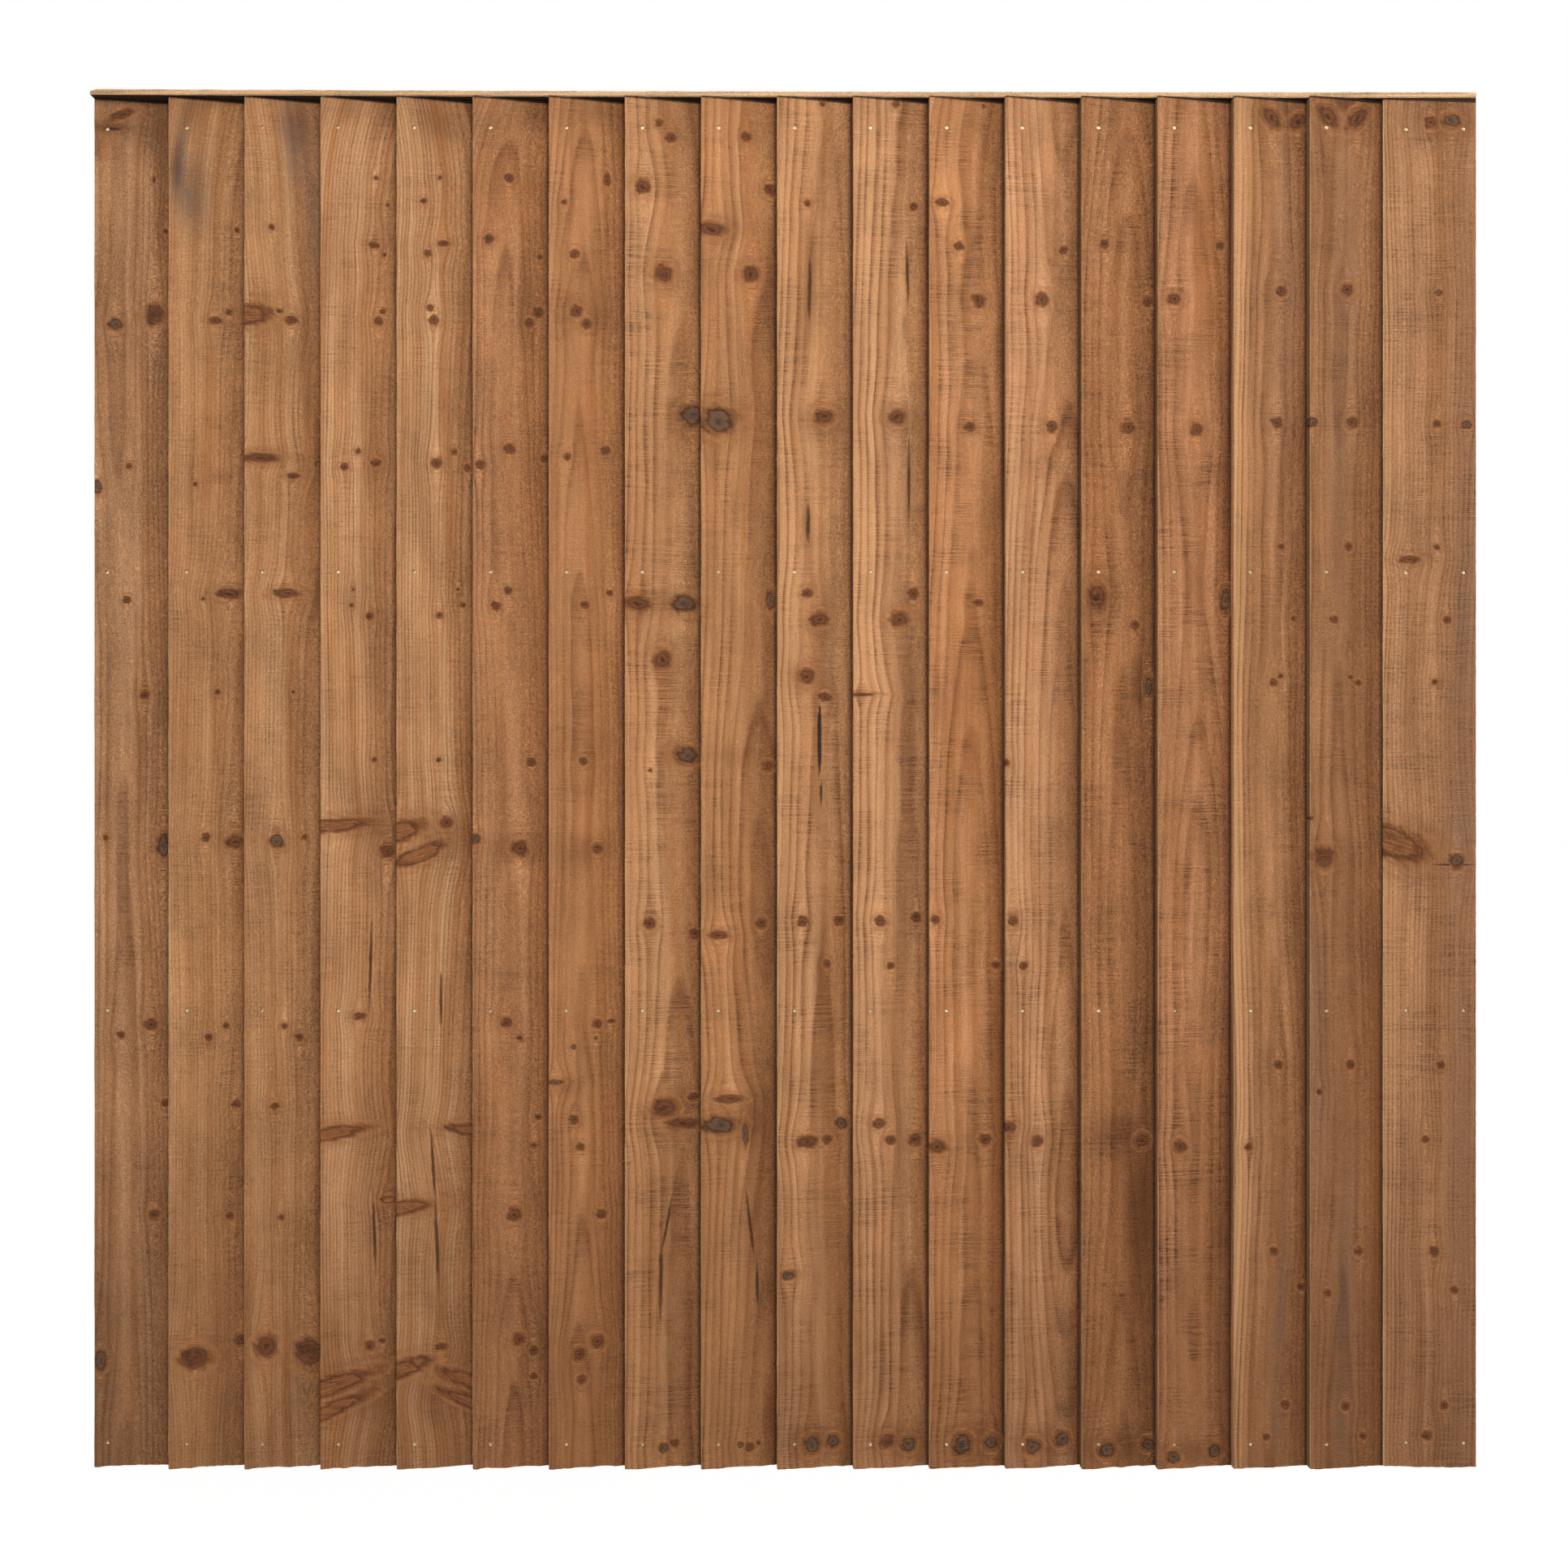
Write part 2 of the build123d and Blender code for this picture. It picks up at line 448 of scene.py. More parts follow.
class SoftwoodRecipe(Recipe):
    """The node tree of sawn softwood, with a short method for each layer of its surface."""

    def __init__(self, finish: SawnSoftwood) -> None:
        """Builds the whole tree for one finish."""
        super().__init__(finish.name)
        self.finish = finish
        self.read_attributes()
        self.line = self.ring_lines()
        self.wood = self.ground()
        self.shade = self.roughen()
        self.lay_patches()
        self.lay_edges()
        self.lay_knots()
        self.lay_cast_and_cap_shade()
        self.close()

    def read_attributes(self) -> None:
        """Reads where a point lies in the wood, what tints it, and where its nearest knot is."""
        self.grain, self.ring, self.across, self.up = self.attribute("grain", "XYZ")
        _, self.from_arris, self.to_lap, self.behind = self.attribute("place", "XYZ")
        _, self.warm, self.dark, self.grey = self.attribute("tint", "XYZ")
        _, self.straw, self.below_cap = self.attribute("cover", "XY")
        self.knot, self.knot_kind = self.attribute("knot", "Z")

    def attribute(self, name: str, axes: str) -> list[Any]:
        """Reads a vector that the pieces carry: the whole of it, then each axis that is wanted."""
        vector = self.add("Attribute", out="Vector", attribute_name=name)
        return [vector] + [self.add("SeparateXYZ", {0: vector}, out=axis) for axis in axes]

    def stretched(self, across: float, along: float, start: Any = None) -> Any:
        """A place for a noise that is longer along the grain than across it.

        Args:
            across: how many cells of the noise lie in 1 mm across the grain.
            along: how many lie in 1 mm along it.
            start: what is counted across, where that isn't the mm across the grain.

        Returns:
            The place, as a vector socket.
        """
        start = self.across if start is None else start
        sideways = self.add("Math", {0: start, 1: across}, operation="MULTIPLY")
        upwards = self.add("Math", {0: self.up, 1: along}, operation="MULTIPLY")
        return self.add("CombineXYZ", {0: sideways, 2: upwards})

    def over(self, ground: Any, *layers: tuple[Any, Any]) -> Any:
        """Lays colours over a ground, one after the other.

        Args:
            ground: the colour below.
            layers: for each, how much of the ground it covers, and its hex code or its socket.

        Returns:
            The colour on top.
        """
        for cover, colour in layers:
            shade = linear(colour) if isinstance(colour, str) else colour
            ground = self.add("Mix", {0: cover, 6: ground, 7: shade}, out=2, data_type="RGBA")
        return ground

    def ring_lines(self) -> Any:
        """How dark each ring is: it deepens slowly to its late wood and ends in a sharp line."""
        wander = self.add("TexNoise", {"Vector": self.stretched(1.0, 0.006, self.ring), "Scale": 0.9,
                                       "Detail": 3.0})
        shifted = self.add("Math", {0: wander, 1: 0.9, 2: self.ring}, operation="MULTIPLY_ADD")
        phase = self.add("Math", {0: shifted}, operation="FRACT")
        line = self.add("ValToRGB", {0: phase}, stops=[
            (0.0, 0.3), (0.1, 0.0), (0.45, 0.12), (0.72, 0.6), (0.86, 1.0), (0.95, 0.8), (1.0, 0.3)])
        strength = self.add("TexNoise", {"Vector": self.stretched(0.55, 0.0016, self.ring), "Scale": 1.3,
                                         "Detail": 2.0})
        share = self.add("MapRange", {0: strength, 1: 0.3, 2: 0.65, 3: 0.25, 4: 1.25})
        return self.add("Math", {0: line, 1: share}, operation="MULTIPLY")

    def ground(self) -> Any:
        """Stripes some 13 mm wide, deeper wood towards the lap, and the rings over both."""
        stripe = self.add("TexNoise", {"Vector": self.stretched(0.075, 0.0022), "Scale": 1.0,
                                       "Detail": 3.0})
        stripe_share = self.add("MapRange", {0: stripe, 1: 0.33, 2: 0.67, 3: 0.0, 4: 1.0})
        heart_at = self.add("Math", {0: stripe, 1: 90.0, 2: self.from_arris}, operation="MULTIPLY_ADD")
        heart_side = self.add("MapRange", {0: heart_at, 1: 85.0, 2: 125.0, 3: 0.0, 4: 0.38},
                              interpolation_type="SMOOTHSTEP")
        ring_share = self.add("Math", {0: self.line, 1: self.finish.rings}, operation="MULTIPLY")
        return self.over(linear(self.finish.pale), (stripe_share, self.finish.mid),
                         (heart_side, self.finish.heart), (ring_share, self.finish.late))

    def roughen(self) -> Any:
        """Lights and darkens the wood by its nap, saw marks, torn grain and blotches.

        Returns:
            All of that but the blotches, for the relief to follow.
        """
        shade = self.add("Math", {0: self.fibre_nap(), 1: self.saw_marks()}, operation="ADD")
        shade = self.tear(shade)

        # Blotches of 50 mm by 140 mm, where the preservative went in more or less.
        self.blotch = self.add("TexNoise", {"Vector": self.stretched(0.02, 0.007), "Scale": 1.0,
                                            "Detail": 4.0})
        depth = 0.24 * self.finish.mottle
        mottle = self.add("MapRange", {0: self.blotch, 1: 0.3, 2: 0.7, 3: -depth, 4: depth})
        uneven = self.add("Math", {0: shade, 1: mottle}, operation="ADD")
        light = self.add("Math", {0: uneven, 1: 1.08}, operation="ADD")
        self.wood = self.add("VectorMath", {0: self.wood, "Scale": light}, operation="SCALE")
        return shade

    def fibre_nap(self) -> Any:
        """The nap: torn fibres about 1 mm wide and 17 mm long, and specks of 2 mm by 3 mm."""
        fine = self.add("TexNoise", {"Vector": self.stretched(0.8, 0.06), "Scale": 1.0, "Detail": 4.0,
                                     "Roughness": 0.65})
        self.speck = self.add("TexNoise", {"Vector": self.stretched(0.6, 0.35), "Scale": 1.0,
                                           "Detail": 3.0, "Roughness": 0.7})
        long = self.add("MapRange", {0: fine, 1: 0.3, 2: 0.7, 3: -0.15, 4: 0.15})
        short = self.add("MapRange", {0: self.speck, 1: 0.3, 2: 0.7, 3: -0.17, 4: 0.17})
        nap = self.add("Math", {0: long, 1: short}, operation="ADD")
        return self.add("Math", {0: nap, 1: self.finish.nap}, operation="MULTIPLY")

    def saw_marks(self) -> Any:
        """The blade's cross marks: thin broken lines in groups, deepest over the late wood."""
        marks = self.add("TexNoise", {"Vector": self.stretched(0.009, 0.28), "Scale": 1.0, "Detail": 2.0,
                                      "Roughness": 0.6})
        area = self.add("TexNoise", {"Vector": self.stretched(0.022, 0.02), "Scale": 1.0, "Detail": 2.0})
        area_share = self.add("MapRange", {0: area, 1: 0.44, 2: 0.58, 3: 0.1, 4: 1.0})
        centred = self.add("Math", {0: marks, 1: 0.5}, operation="SUBTRACT")
        off_line = self.add("Math", {0: centred}, operation="ABSOLUTE")
        saw = self.add("MapRange", {0: off_line, 1: 0.0, 2: 0.05, 3: -0.62, 4: 0.04})
        over_line = self.add("Math", {0: self.line, 1: 0.9, 2: 0.35}, operation="MULTIPLY_ADD")
        for factor in (area_share, self.finish.saw, over_line):
            saw = self.add("Math", {0: saw, 1: factor}, operation="MULTIPLY")
        return saw

    def tear(self, shade: Any) -> Any:
        """Adds the pits, 2 mm by 4 mm, where the saw plucked the fibres: deepest near the lap."""
        torn = self.add("TexNoise", {"Vector": self.stretched(0.5, 0.24), "Scale": 1.0, "Detail": 3.0,
                                     "Distortion": 2.2})
        flecks = self.finish.flecks
        pits = self.add("MapRange", {0: torn, 1: 0.36, 2: 0.68, 3: 0.24 * flecks, 4: -0.5 * flecks})
        shade = self.add("Math", {0: shade, 1: pits}, operation="ADD")
        near_lap = self.add("MapRange", {0: self.to_lap, 1: 4.0, 2: 44.0, 3: 1.0, 4: 0.0})
        plucked = self.add("MapRange", {0: torn, 1: 0.5, 2: 0.64, 3: 0.0, 4: -0.36})
        return self.add("Math", {0: plucked, 1: near_lap, 2: shade}, operation="MULTIPLY_ADD")

    def lay_patches(self) -> None:
        """The soft patches of colour that each board was given."""
        uneven = self.add("MapRange", {0: self.blotch, 1: 0.38, 2: 0.6, 3: 0.25, 4: 1.15})
        for amount, factor, code in ((self.warm, 0.7, self.finish.warm),
                                     (self.grey, uneven, self.finish.grey),
                                     (self.dark, 0.8, self.finish.dark)):
            cover = self.add("Math", {0: amount, 1: factor}, operation="MULTIPLY", use_clamp=True)
            self.wood = self.over(self.wood, (cover, code))

    def lay_edges(self) -> None:
        """The pale arris, partly worn and partly a painted highlight; painted shade on the thick side and
        on a strip before the lap; the crevice at the lap, partly dirt and partly painted shadow; and straw
        wood.
        """
        # The pale arris: partly worn wood, partly a painted highlight where the edge catches the light.
        ragged = self.add("Math", {0: self.speck, 1: 1.6, 2: self.from_arris}, operation="MULTIPLY_ADD")
        worn = self.add("MapRange", {0: ragged, 1: 1.5, 2: 3.0, 3: 0.8, 4: 0.0})
        # Painted shade on the thick side face, which the light hardly reaches.
        on_side = self.add("Math", {0: self.from_arris, 1: 2.0}, operation="LESS_THAN")
        side = self.add("MapRange", {0: self.behind, 1: 0.7, 2: 1.5, 3: 0.0, 4: 0.85})
        side = self.add("Math", {0: side, 1: on_side}, operation="MULTIPLY")

        # Painted shade on the face before the next board's step, kept to the front; the crevice right at
        # the step is partly dirt and partly painted shadow.
        in_front = self.add("MapRange", {0: self.behind, 1: 0.4, 2: 1.2, 3: 1.0, 4: 0.0})
        lap_at = self.add("Math", {0: self.blotch, 1: 14.0, 2: self.to_lap}, operation="MULTIPLY_ADD")
        lap = self.add("MapRange", {0: lap_at, 1: 7.0, 2: 24.0, 3: 0.36, 4: 0.0},
                       interpolation_type="SMOOTHSTEP")
        lap = self.add("Math", {0: lap, 1: in_front}, operation="MULTIPLY")
        crevice_at = self.add("Math", {0: self.speck, 1: 16.0, 2: self.to_lap}, operation="MULTIPLY_ADD")
        crevice = self.add("MapRange", {0: crevice_at, 1: 8.4, 2: 13.0, 3: 0.66, 4: 0.0})
        crevice = self.add("Math", {0: crevice, 1: in_front}, operation="MULTIPLY")
        straw = self.add("Math", {0: self.line, 1: -0.55, 2: self.straw}, operation="MULTIPLY_ADD",
                         use_clamp=True)
        self.wood = self.over(self.wood, (worn, "D9B486"), (side, "805A3C"), (lap, "7E4C2A"),
                              (crevice, "341C0F"), (straw, "DEA878"))

    def lay_knots(self) -> None:
        """The knots and splits: a ragged edge, a halo with a pale ring in it, and their inside."""
        ragged_at = self.add("VectorMath", {0: self.grain, 1: (0.0, 0.06, 0.05), 2: self.knot},
                             operation="MULTIPLY_ADD")
        self.ragged = self.add("TexNoise", {"Vector": ragged_at, "Scale": 1.15, "Detail": 4.0,
                                            "Roughness": 0.6}, out="Color")
        self.edge = self.knot_edge()
        self.is_kind = {
            kind: self.add("Math", {0: self.knot_kind, 1: kind.value, 2: 0.4}, operation="COMPARE")
            for kind in KnotKind if kind is not KnotKind.SOUND}
        self.lay_halo()
        inside = self.add("MapRange", {0: self.edge, 1: 1.0, 2: 1.28, 3: 0.9, 4: 0.0},
                          interpolation_type="SMOOTHSTEP")
        self.wood = self.over(self.wood, (inside, self.knot_colour()))
        self.crack = self.add("Math", {0: inside, 1: self.is_kind[KnotKind.SPLIT]}, operation="MULTIPLY")

    def knot_edge(self) -> Any:
        """How far a point lies from the middle of its knot, where 1 is the knot's ragged edge."""
        flat = self.add("VectorMath", {0: self.knot, 1: (1.0, 1.0, 0.0)}, operation="MULTIPLY")
        pushed = self.add("VectorMath", {0: self.ragged, 1: (-0.5, -0.5, 0.0)}, operation="ADD")
        pushed = self.add("VectorMath", {0: pushed, 1: (1.1, 1.1, 0.0), 2: flat}, operation="MULTIPLY_ADD")
        radius = self.add("VectorMath", {0: pushed}, out="Value", operation="LENGTH")
        return self.add("Math", {0: radius, 1: 0.2}, operation="ADD")

    def lay_halo(self) -> None:
        """A warm halo with a pale ring in it, which splits and pockets don't have."""
        without = self.add("Math", {0: self.is_kind[KnotKind.SPLIT], 1: self.is_kind[KnotKind.POCKET]},
                           operation="ADD")
        with_halo = self.add("Math", {0: 1.0, 1: without}, operation="SUBTRACT")
        one_sided = self.add("MapRange", {0: self.add("SeparateXYZ", {0: self.ragged}, out="Z"),
                                          1: 0.4, 2: 0.6, 3: 0.2, 4: 1.25})
        halo = self.add("MapRange", {0: self.edge, 1: 1.2, 2: 2.6, 3: 0.5, 4: 0.0},
                        interpolation_type="SMOOTHSTEP")
        for factor in (with_halo, one_sided):
            halo = self.add("Math", {0: halo, 1: factor}, operation="MULTIPLY")
        off_ring = self.add("Math", {0: self.edge, 1: 1.52}, operation="SUBTRACT")
        off_ring = self.add("Math", {0: off_ring}, operation="ABSOLUTE")
        pale_ring = self.add("MapRange", {0: off_ring, 1: 0.0, 2: 0.3, 3: 0.8, 4: 0.0})
        pale_ring = self.add("Math", {0: pale_ring, 1: halo}, operation="MULTIPLY")
        self.wood = self.over(self.wood, (halo, "88522D"), (pale_ring, "BC8656"))

    def knot_colour(self) -> Any:
        """The colour inside the knots: rings by their kind, dark gaps, and black resin pockets."""
        shades = {}
        for kind, stops in KNOT_SHADES.items():
            colours = [(out, linear(code)) for out, code in stops]
            shades[kind] = self.add("ValToRGB", {0: self.edge}, stops=colours)
        shades[KnotKind.BRANCH] = self.over(shades[KnotKind.BRANCH], (self.branch_streaks(), "5C3219"))
        colour = shades.pop(KnotKind.SOUND)
        bite = self.add("MapRange", {0: self.add("SeparateXYZ", {0: self.ragged}, out="X"),
                                     1: 0.52, 2: 0.62, 3: 0.0, 4: 0.4})
        colour = self.over(colour, *((self.is_kind[kind], shade) for kind, shade in shades.items()))
        return self.over(colour, (bite, "2C1A10"), (self.is_kind[KnotKind.POCKET], "1C1411"))

    def branch_streaks(self) -> Any:
        """The dark streaks that run along a branch cut lengthwise."""
        at = self.add("VectorMath", {0: self.knot, 1: (0.9, 7.0, 0.0)}, operation="MULTIPLY")
        streak = self.add("TexNoise", {"Vector": at, "Scale": 1.0, "Detail": 3.0})
        return self.add("MapRange", {0: streak, 1: 0.46, 2: 0.62, 3: 0.0, 4: 0.75})

    def lay_cast_and_cap_shade(self) -> None:
        """The yellow cast of the preservative, and painted shade: a near-black wedge right under the cap,
        deeper towards each board's thin edge, and the cap's own underside painted the same.
        """
        self.wood = self.add("VectorMath", {0: self.wood, 1: (1.02, 0.99, 0.92)}, operation="MULTIPLY")
        # Painted shade under the cap: a ragged near-black band a few mm deep, which grows towards the thin
        # edge, where the board lies further back.
        reach = self.add("Math", {0: self.from_arris, 1: -0.036, 2: self.below_cap},
                         operation="MULTIPLY_ADD")
        ragged = self.add("Math", {0: self.speck, 1: 3.0, 2: reach}, operation="MULTIPLY_ADD")
        cap_shade = self.add("MapRange", {0: ragged, 1: 2.4, 2: 4.4, 3: 0.92, 4: 0.0})
        self.wood = self.over(self.wood, (cap_shade, "160E09"))

    def close(self) -> None:
        """The relief of rings, fibres and splits, up to 0.7 mm deep, on a matt surface."""
        fine = self.add("Math", {0: self.shade, 1: 4.5}, operation="MULTIPLY")
        relief = self.add("Math", {0: self.line, 1: 0.35, 2: fine}, operation="MULTIPLY_ADD")
        relief = self.add("Math", {0: self.crack, 1: -1.0, 2: relief}, operation="MULTIPLY_ADD")
        bump = self.add("Bump", {"Strength": 0.75, "Distance": 0.7 * MM, "Height": relief})
        surface = self.add("BsdfPrincipled", {
            "Base Color": self.wood, "Roughness": self.finish.roughness,
            "Specular IOR Level": self.finish.specular, "Normal": bump})
        self.add("OutputMaterial", {"Surface": surface})


@dataclass(frozen=True)
class GalvanisedWire:
    """Bright wire nails, hot-dip galvanised: a pale grey metal, dulled and slightly yellowed."""

    name: str = "galvanised_wire"
    tone: str = "E6D2A8"
    dull: str = "A48C62"
    metallic: float = 0.35
    roughness: float = 0.42

    def make(self) -> bpy.types.Material:
        """Builds the material."""
        r = Recipe(self.name)
        at = r.add("TexCoord", out="Object")
        spangle = r.add("TexNoise", {"Vector": at, "Scale": 1 / (3 * MM), "Detail": 3.0}, out=0)
        tone = r.add("Mix", {0: r.add("MapRange", {0: spangle, 1: 0.35, 2: 0.65}),
                             6: linear(self.tone), 7: linear(self.dull)}, out=2, data_type="RGBA")
        surface = r.add("BsdfPrincipled", {"Base Color": tone, "Metallic": self.metallic,
                                           "Roughness": self.roughness})
        r.add("OutputMaterial", {"Surface": surface})
        return r.material


@dataclass
class FeatherBoard:
    """One feather-edge board: a wedge in section, its face to the front."""

    number: int
    finish: SawnSoftwood
    pith: float
    depth: float
    taper: float
    spacing: float
    knots: list[Knot] = field(default_factory=list)
    patches: list[Patch] = field(default_factory=list)
    foot_dark: float = 0.38
    lap_step: float = 100.325
    drift: float = 7.0
    arris_wear: float = 0.35
    face_ripple: float = 0.12
    end_ragged: float = 1.6
    inset: float = 0.05
    fibres: int = 90
    flare: float = 0.0
    flame: float = 3.5
    arris_round: float = 0.35
    chips: tuple[tuple[float, float, float], ...] = (
        (1297, 9, 2.2), (129, 14, 1.6), (1690, 20, 1.0), (905, 16, 0.8), (470, 12, 0.9))

    @property
    def node(self) -> str:
        """The name of the CAD node that the board stands for."""
        return f"feather_board_{self.number:02d}"

    def section(self) -> np.ndarray:
        """The corners of its section: front left, front right, back right, back left, in mm."""
        points = read_points(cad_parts[self.node])
        foot = points[points[:, 2] < points[:, 2].min() + 0.01]
        plan = np.unique(np.round(foot[:, :2], 3), axis=0)
        middle = (plan[:, 0].min() + plan[:, 0].max()) / 2
        left = plan[plan[:, 0] < middle]
        right = plan[plan[:, 0] > middle]
        left = left[np.argsort(left[:, 1])]
        right = right[np.argsort(right[:, 1])]
        return np.array([left[0], right[0], right[-1], left[-1]])

    def shape(self, block: bpy.types.Object) -> bpy.types.Object:
        """Shapes a copy of the block into the board.

        Args:
            block: the unit block with a fine grid.

        Returns:
            The board, with slightly uneven arrises, faces and ends inside its true size.
        """
        rng = np.random.default_rng(100 + self.number)
        board = copy_of(block, f"sawn_board_{self.number:02d}")
        unit = read_points(board) + 0.5
        u, v, w = (lipped(unit[:, k], BOARD_CELLS[k], BOARD_LIPS[k]) for k in range(3))
        corners = self.section()
        low, high = box_of(self.node)
        front = corners[0] * (1 - u)[:, None] + corners[1] * u[:, None]
        back = corners[3] * (1 - u)[:, None] + corners[2] * u[:, None]
        plan = front * (1 - v)[:, None] + back * v[:, None]
        wedge = np.column_stack([plan, low[2] + (high[2] - low[2]) * w])
        thick = np.linalg.norm(front - back, axis=1)
        write_points(board, self.wear(rng, unit, wedge, thick))
        return board

    def wear(self, rng: np.random.Generator, unit: np.ndarray, wedge: np.ndarray,
             thick: np.ndarray) -> np.ndarray:
        """Wears the arrises, ripples the face and frays the foot, all inside the true wedge.

        Args:
            rng: the seeded source.
            unit: each vertex's place on the block, from 0 to 1 each way.
            wedge: its place on the true wedge, in mm.
            thick: how thick the wedge is there, in mm.

        Returns:
            The new places, in mm.
        """
        x, y, z = wedge.T
        columns, _, lines_up = (np.round(unit[:, k] * BOARD_CELLS[k]).astype(int) for k in range(3))
        rows = np.arange(BOARD_CELLS[2] + 1)
        wear_left = (np.abs(smooth_noise(rng, rows, 1.5)) * 0.6
                     + np.abs(smooth_noise(rng, rows, 9)))[lines_up]
        wear_front = np.abs(smooth_noise(rng, rows, 2.0))[lines_up]
        ripple = smooth_noise(rng, rows, 6.0)[lines_up]
        at_left, at_front = unit[:, 0] < ON_END, unit[:, 1] < ON_END
        at_right, at_back = unit[:, 0] > 1 - ON_END, unit[:, 1] > 1 - ON_END
        x = x + at_left * (self.inset + self.arris_wear * wear_left * (1 + at_front))
        x = x - at_right * (self.inset + self.arris_wear * wear_front)
        x = x + at_left * (at_front | at_back) * self.arris_round
        y = y + at_front * (self.inset + self.face_ripple * (1 + ripple) * np.minimum(thick / 8, 1) * 0.5)
        y = y + at_front * at_left * (0.3 + 0.35 * wear_front)
        if self.number == 1:
            x = x + at_left * self.left_waves(z)

        across = np.arange(BOARD_CELLS[0] + 1)
        saw_cut = (np.abs(smooth_noise(rng, across, 1.3)) * 0.5
                   + np.abs(smooth_noise(rng, across, 5)))[columns]
        for row, share in ((0, 1.0), (1, 0.9)):
            z = z + (lines_up == row) * self.end_ragged * saw_cut * share
        return np.stack([x, y, z], axis=1)

    def left_waves(self, z: np.ndarray) -> np.ndarray:
        """How deep the waves and chips of the panel's own left edge go in, in mm, at heights in mm."""
        depth = np.abs(np.sin(z / 83.0)) * 0.35 + np.abs(np.sin(z / 31.0 + 2)) * 0.25
        for height, reach, bite in self.chips:
            depth = depth + bite * np.exp(-((z - height) / reach) ** 2)
        return depth

    def fray(self, board: bpy.types.Object, sliver: bpy.types.Object) -> bpy.types.Object:
        """Adds the loose fibres along the thick arris.

        Args:
            board: the shaped and drilled board.
            sliver: one loose fibre, 1 mm long and 2 mm wide.

        Returns:
            The board with its fibres, which grow out of its left side.
        """
        rng = np.random.default_rng(500 + self.number)
        corners = self.section()
        low, high = box_of(self.node)
        count = self.fibres
        z = rng.uniform(low[2] + 12, high[2] - 12, count)
        run = rng.uniform(2.5, 9.0, count) * rng.choice((-1, 1), count, p=(0.7, 0.3))
        out = rng.uniform(0.4, 2.6, count) * np.minimum(1, np.abs(run) / 4)
        back = rng.uniform(0.3, 0.8 * (corners[3, 1] - corners[0, 1]), count) ** 1.3 * 0.6
        root = np.stack([np.full(count, corners[0, 0] + 1.2), corners[0, 1] + 0.5 + back, z], axis=1)
        tip = root + np.stack([-1.2 - out, rng.uniform(-0.5, 0.5, count), run], axis=1)
        width = rng.uniform(0.14, 0.3, count)
        copies = [board]
        for number in range(count):
            run_out = Vector(tip[number] - root[number])
            size = Matrix.Diagonal((width[number], width[number], run_out.length, 1))
            turn = run_out.to_track_quat("Z", "Y").to_matrix().to_4x4()
            twin = copy_of(sliver, f"fibre_{number:02d}")
            twin.data.transform(Matrix.Translation(Vector(root[number]) * MM) @ turn @ size)
            copies.append(twin)
        return join(copies, board.name)

    def note_grain(self, board: bpy.types.Object) -> None:
        """Writes the attributes that the finish reads: grain, place, tint, cover and knot."""
        rng = np.random.default_rng(300 + self.number)
        points = read_points(board)
        low, high = box_of(self.node)
        u = points[:, 0] - low[0]
        z = points[:, 2]
        through = points[:, 1] - points[:, 1].min()
        drift = smooth_noise(rng, z, 460) * self.drift + smooth_noise(rng, z, 140)
        flow = u + drift + self.flare * np.clip((z - 1670) / 141, 0, 1) ** 2
        bent = self.bend(flow, u, z)
        deep = self.depth + self.taper * z + smooth_noise(rng, z, 380) * self.flame
        rings = np.hypot(bent - self.pith, deep + 0.6 * through) / self.spacing
        write_attribute(board, "grain", "POINT", np.stack(
            [rings + 7 * self.number, bent + 200 * self.number, z + 53 * self.number], axis=1))
        corners = self.section()
        face = np.interp(points[:, 0], corners[:2, 0], corners[:2, 1])
        write_attribute(board, "place", "POINT",
                        np.stack([u, self.lap_step - u, points[:, 1] - face], axis=1))
        tints = self.tints(flow, z)
        write_attribute(board, "tint", "POINT", tints[:, :3])
        # The distance below the top, by which the finish paints the shade under the cap.
        write_attribute(board, "cover", "POINT", np.stack([tints[:, 3], high[2] - z, 0 * z], axis=1))
        note_knots(board, u, z, self.knots)

    def bend(self, flow: np.ndarray, u: np.ndarray, z: np.ndarray) -> np.ndarray:
        """Bends the grain round every knot.

        Args:
            flow: each vertex's place across the grain, in mm.
            u: its distance from the board's left arris, in mm.
            z: its height, in mm.

        Returns:
            The new place across the grain.
        """
        bent = flow
        for knot in self.knots:
            if knot.kind in (KnotKind.SPLIT, KnotKind.POCKET):
                continue
            half = max(knot.wide, 7.0) * 0.5
            bent = bent - give_way(u - knot.across, z - knot.height, 1.15 * min(half, 11.0),
                                   max(knot.tall, 9.0) * 2.3, 0.7 * half, 3.2 * half)
        return bent

    def tints(self, flow: np.ndarray, z: np.ndarray) -> np.ndarray:
        """How strong each Tint is at each vertex: in the patches, and dark at the foot and the top."""
        tints = np.zeros((len(z), len(Tint)))
        for patch in self.patches:
            across = (flow - patch.across) / (patch.wide / 2)
            height = (z - patch.height) / (patch.tall / 2)
            fade = np.exp(-np.abs(across) ** 2.5) * np.exp(-np.abs(height) ** 2.5)
            tints[:, patch.tint.value] += patch.amount * fade
        tints[:, Tint.DARK.value] += self.foot_dark * np.clip((560 - z) / 430, 0, 1)
        tints[:, Tint.DARK.value] += 0.16 * np.clip((z - 1740) / 70, 0, 1)
        return np.clip(tints, 0, 1)


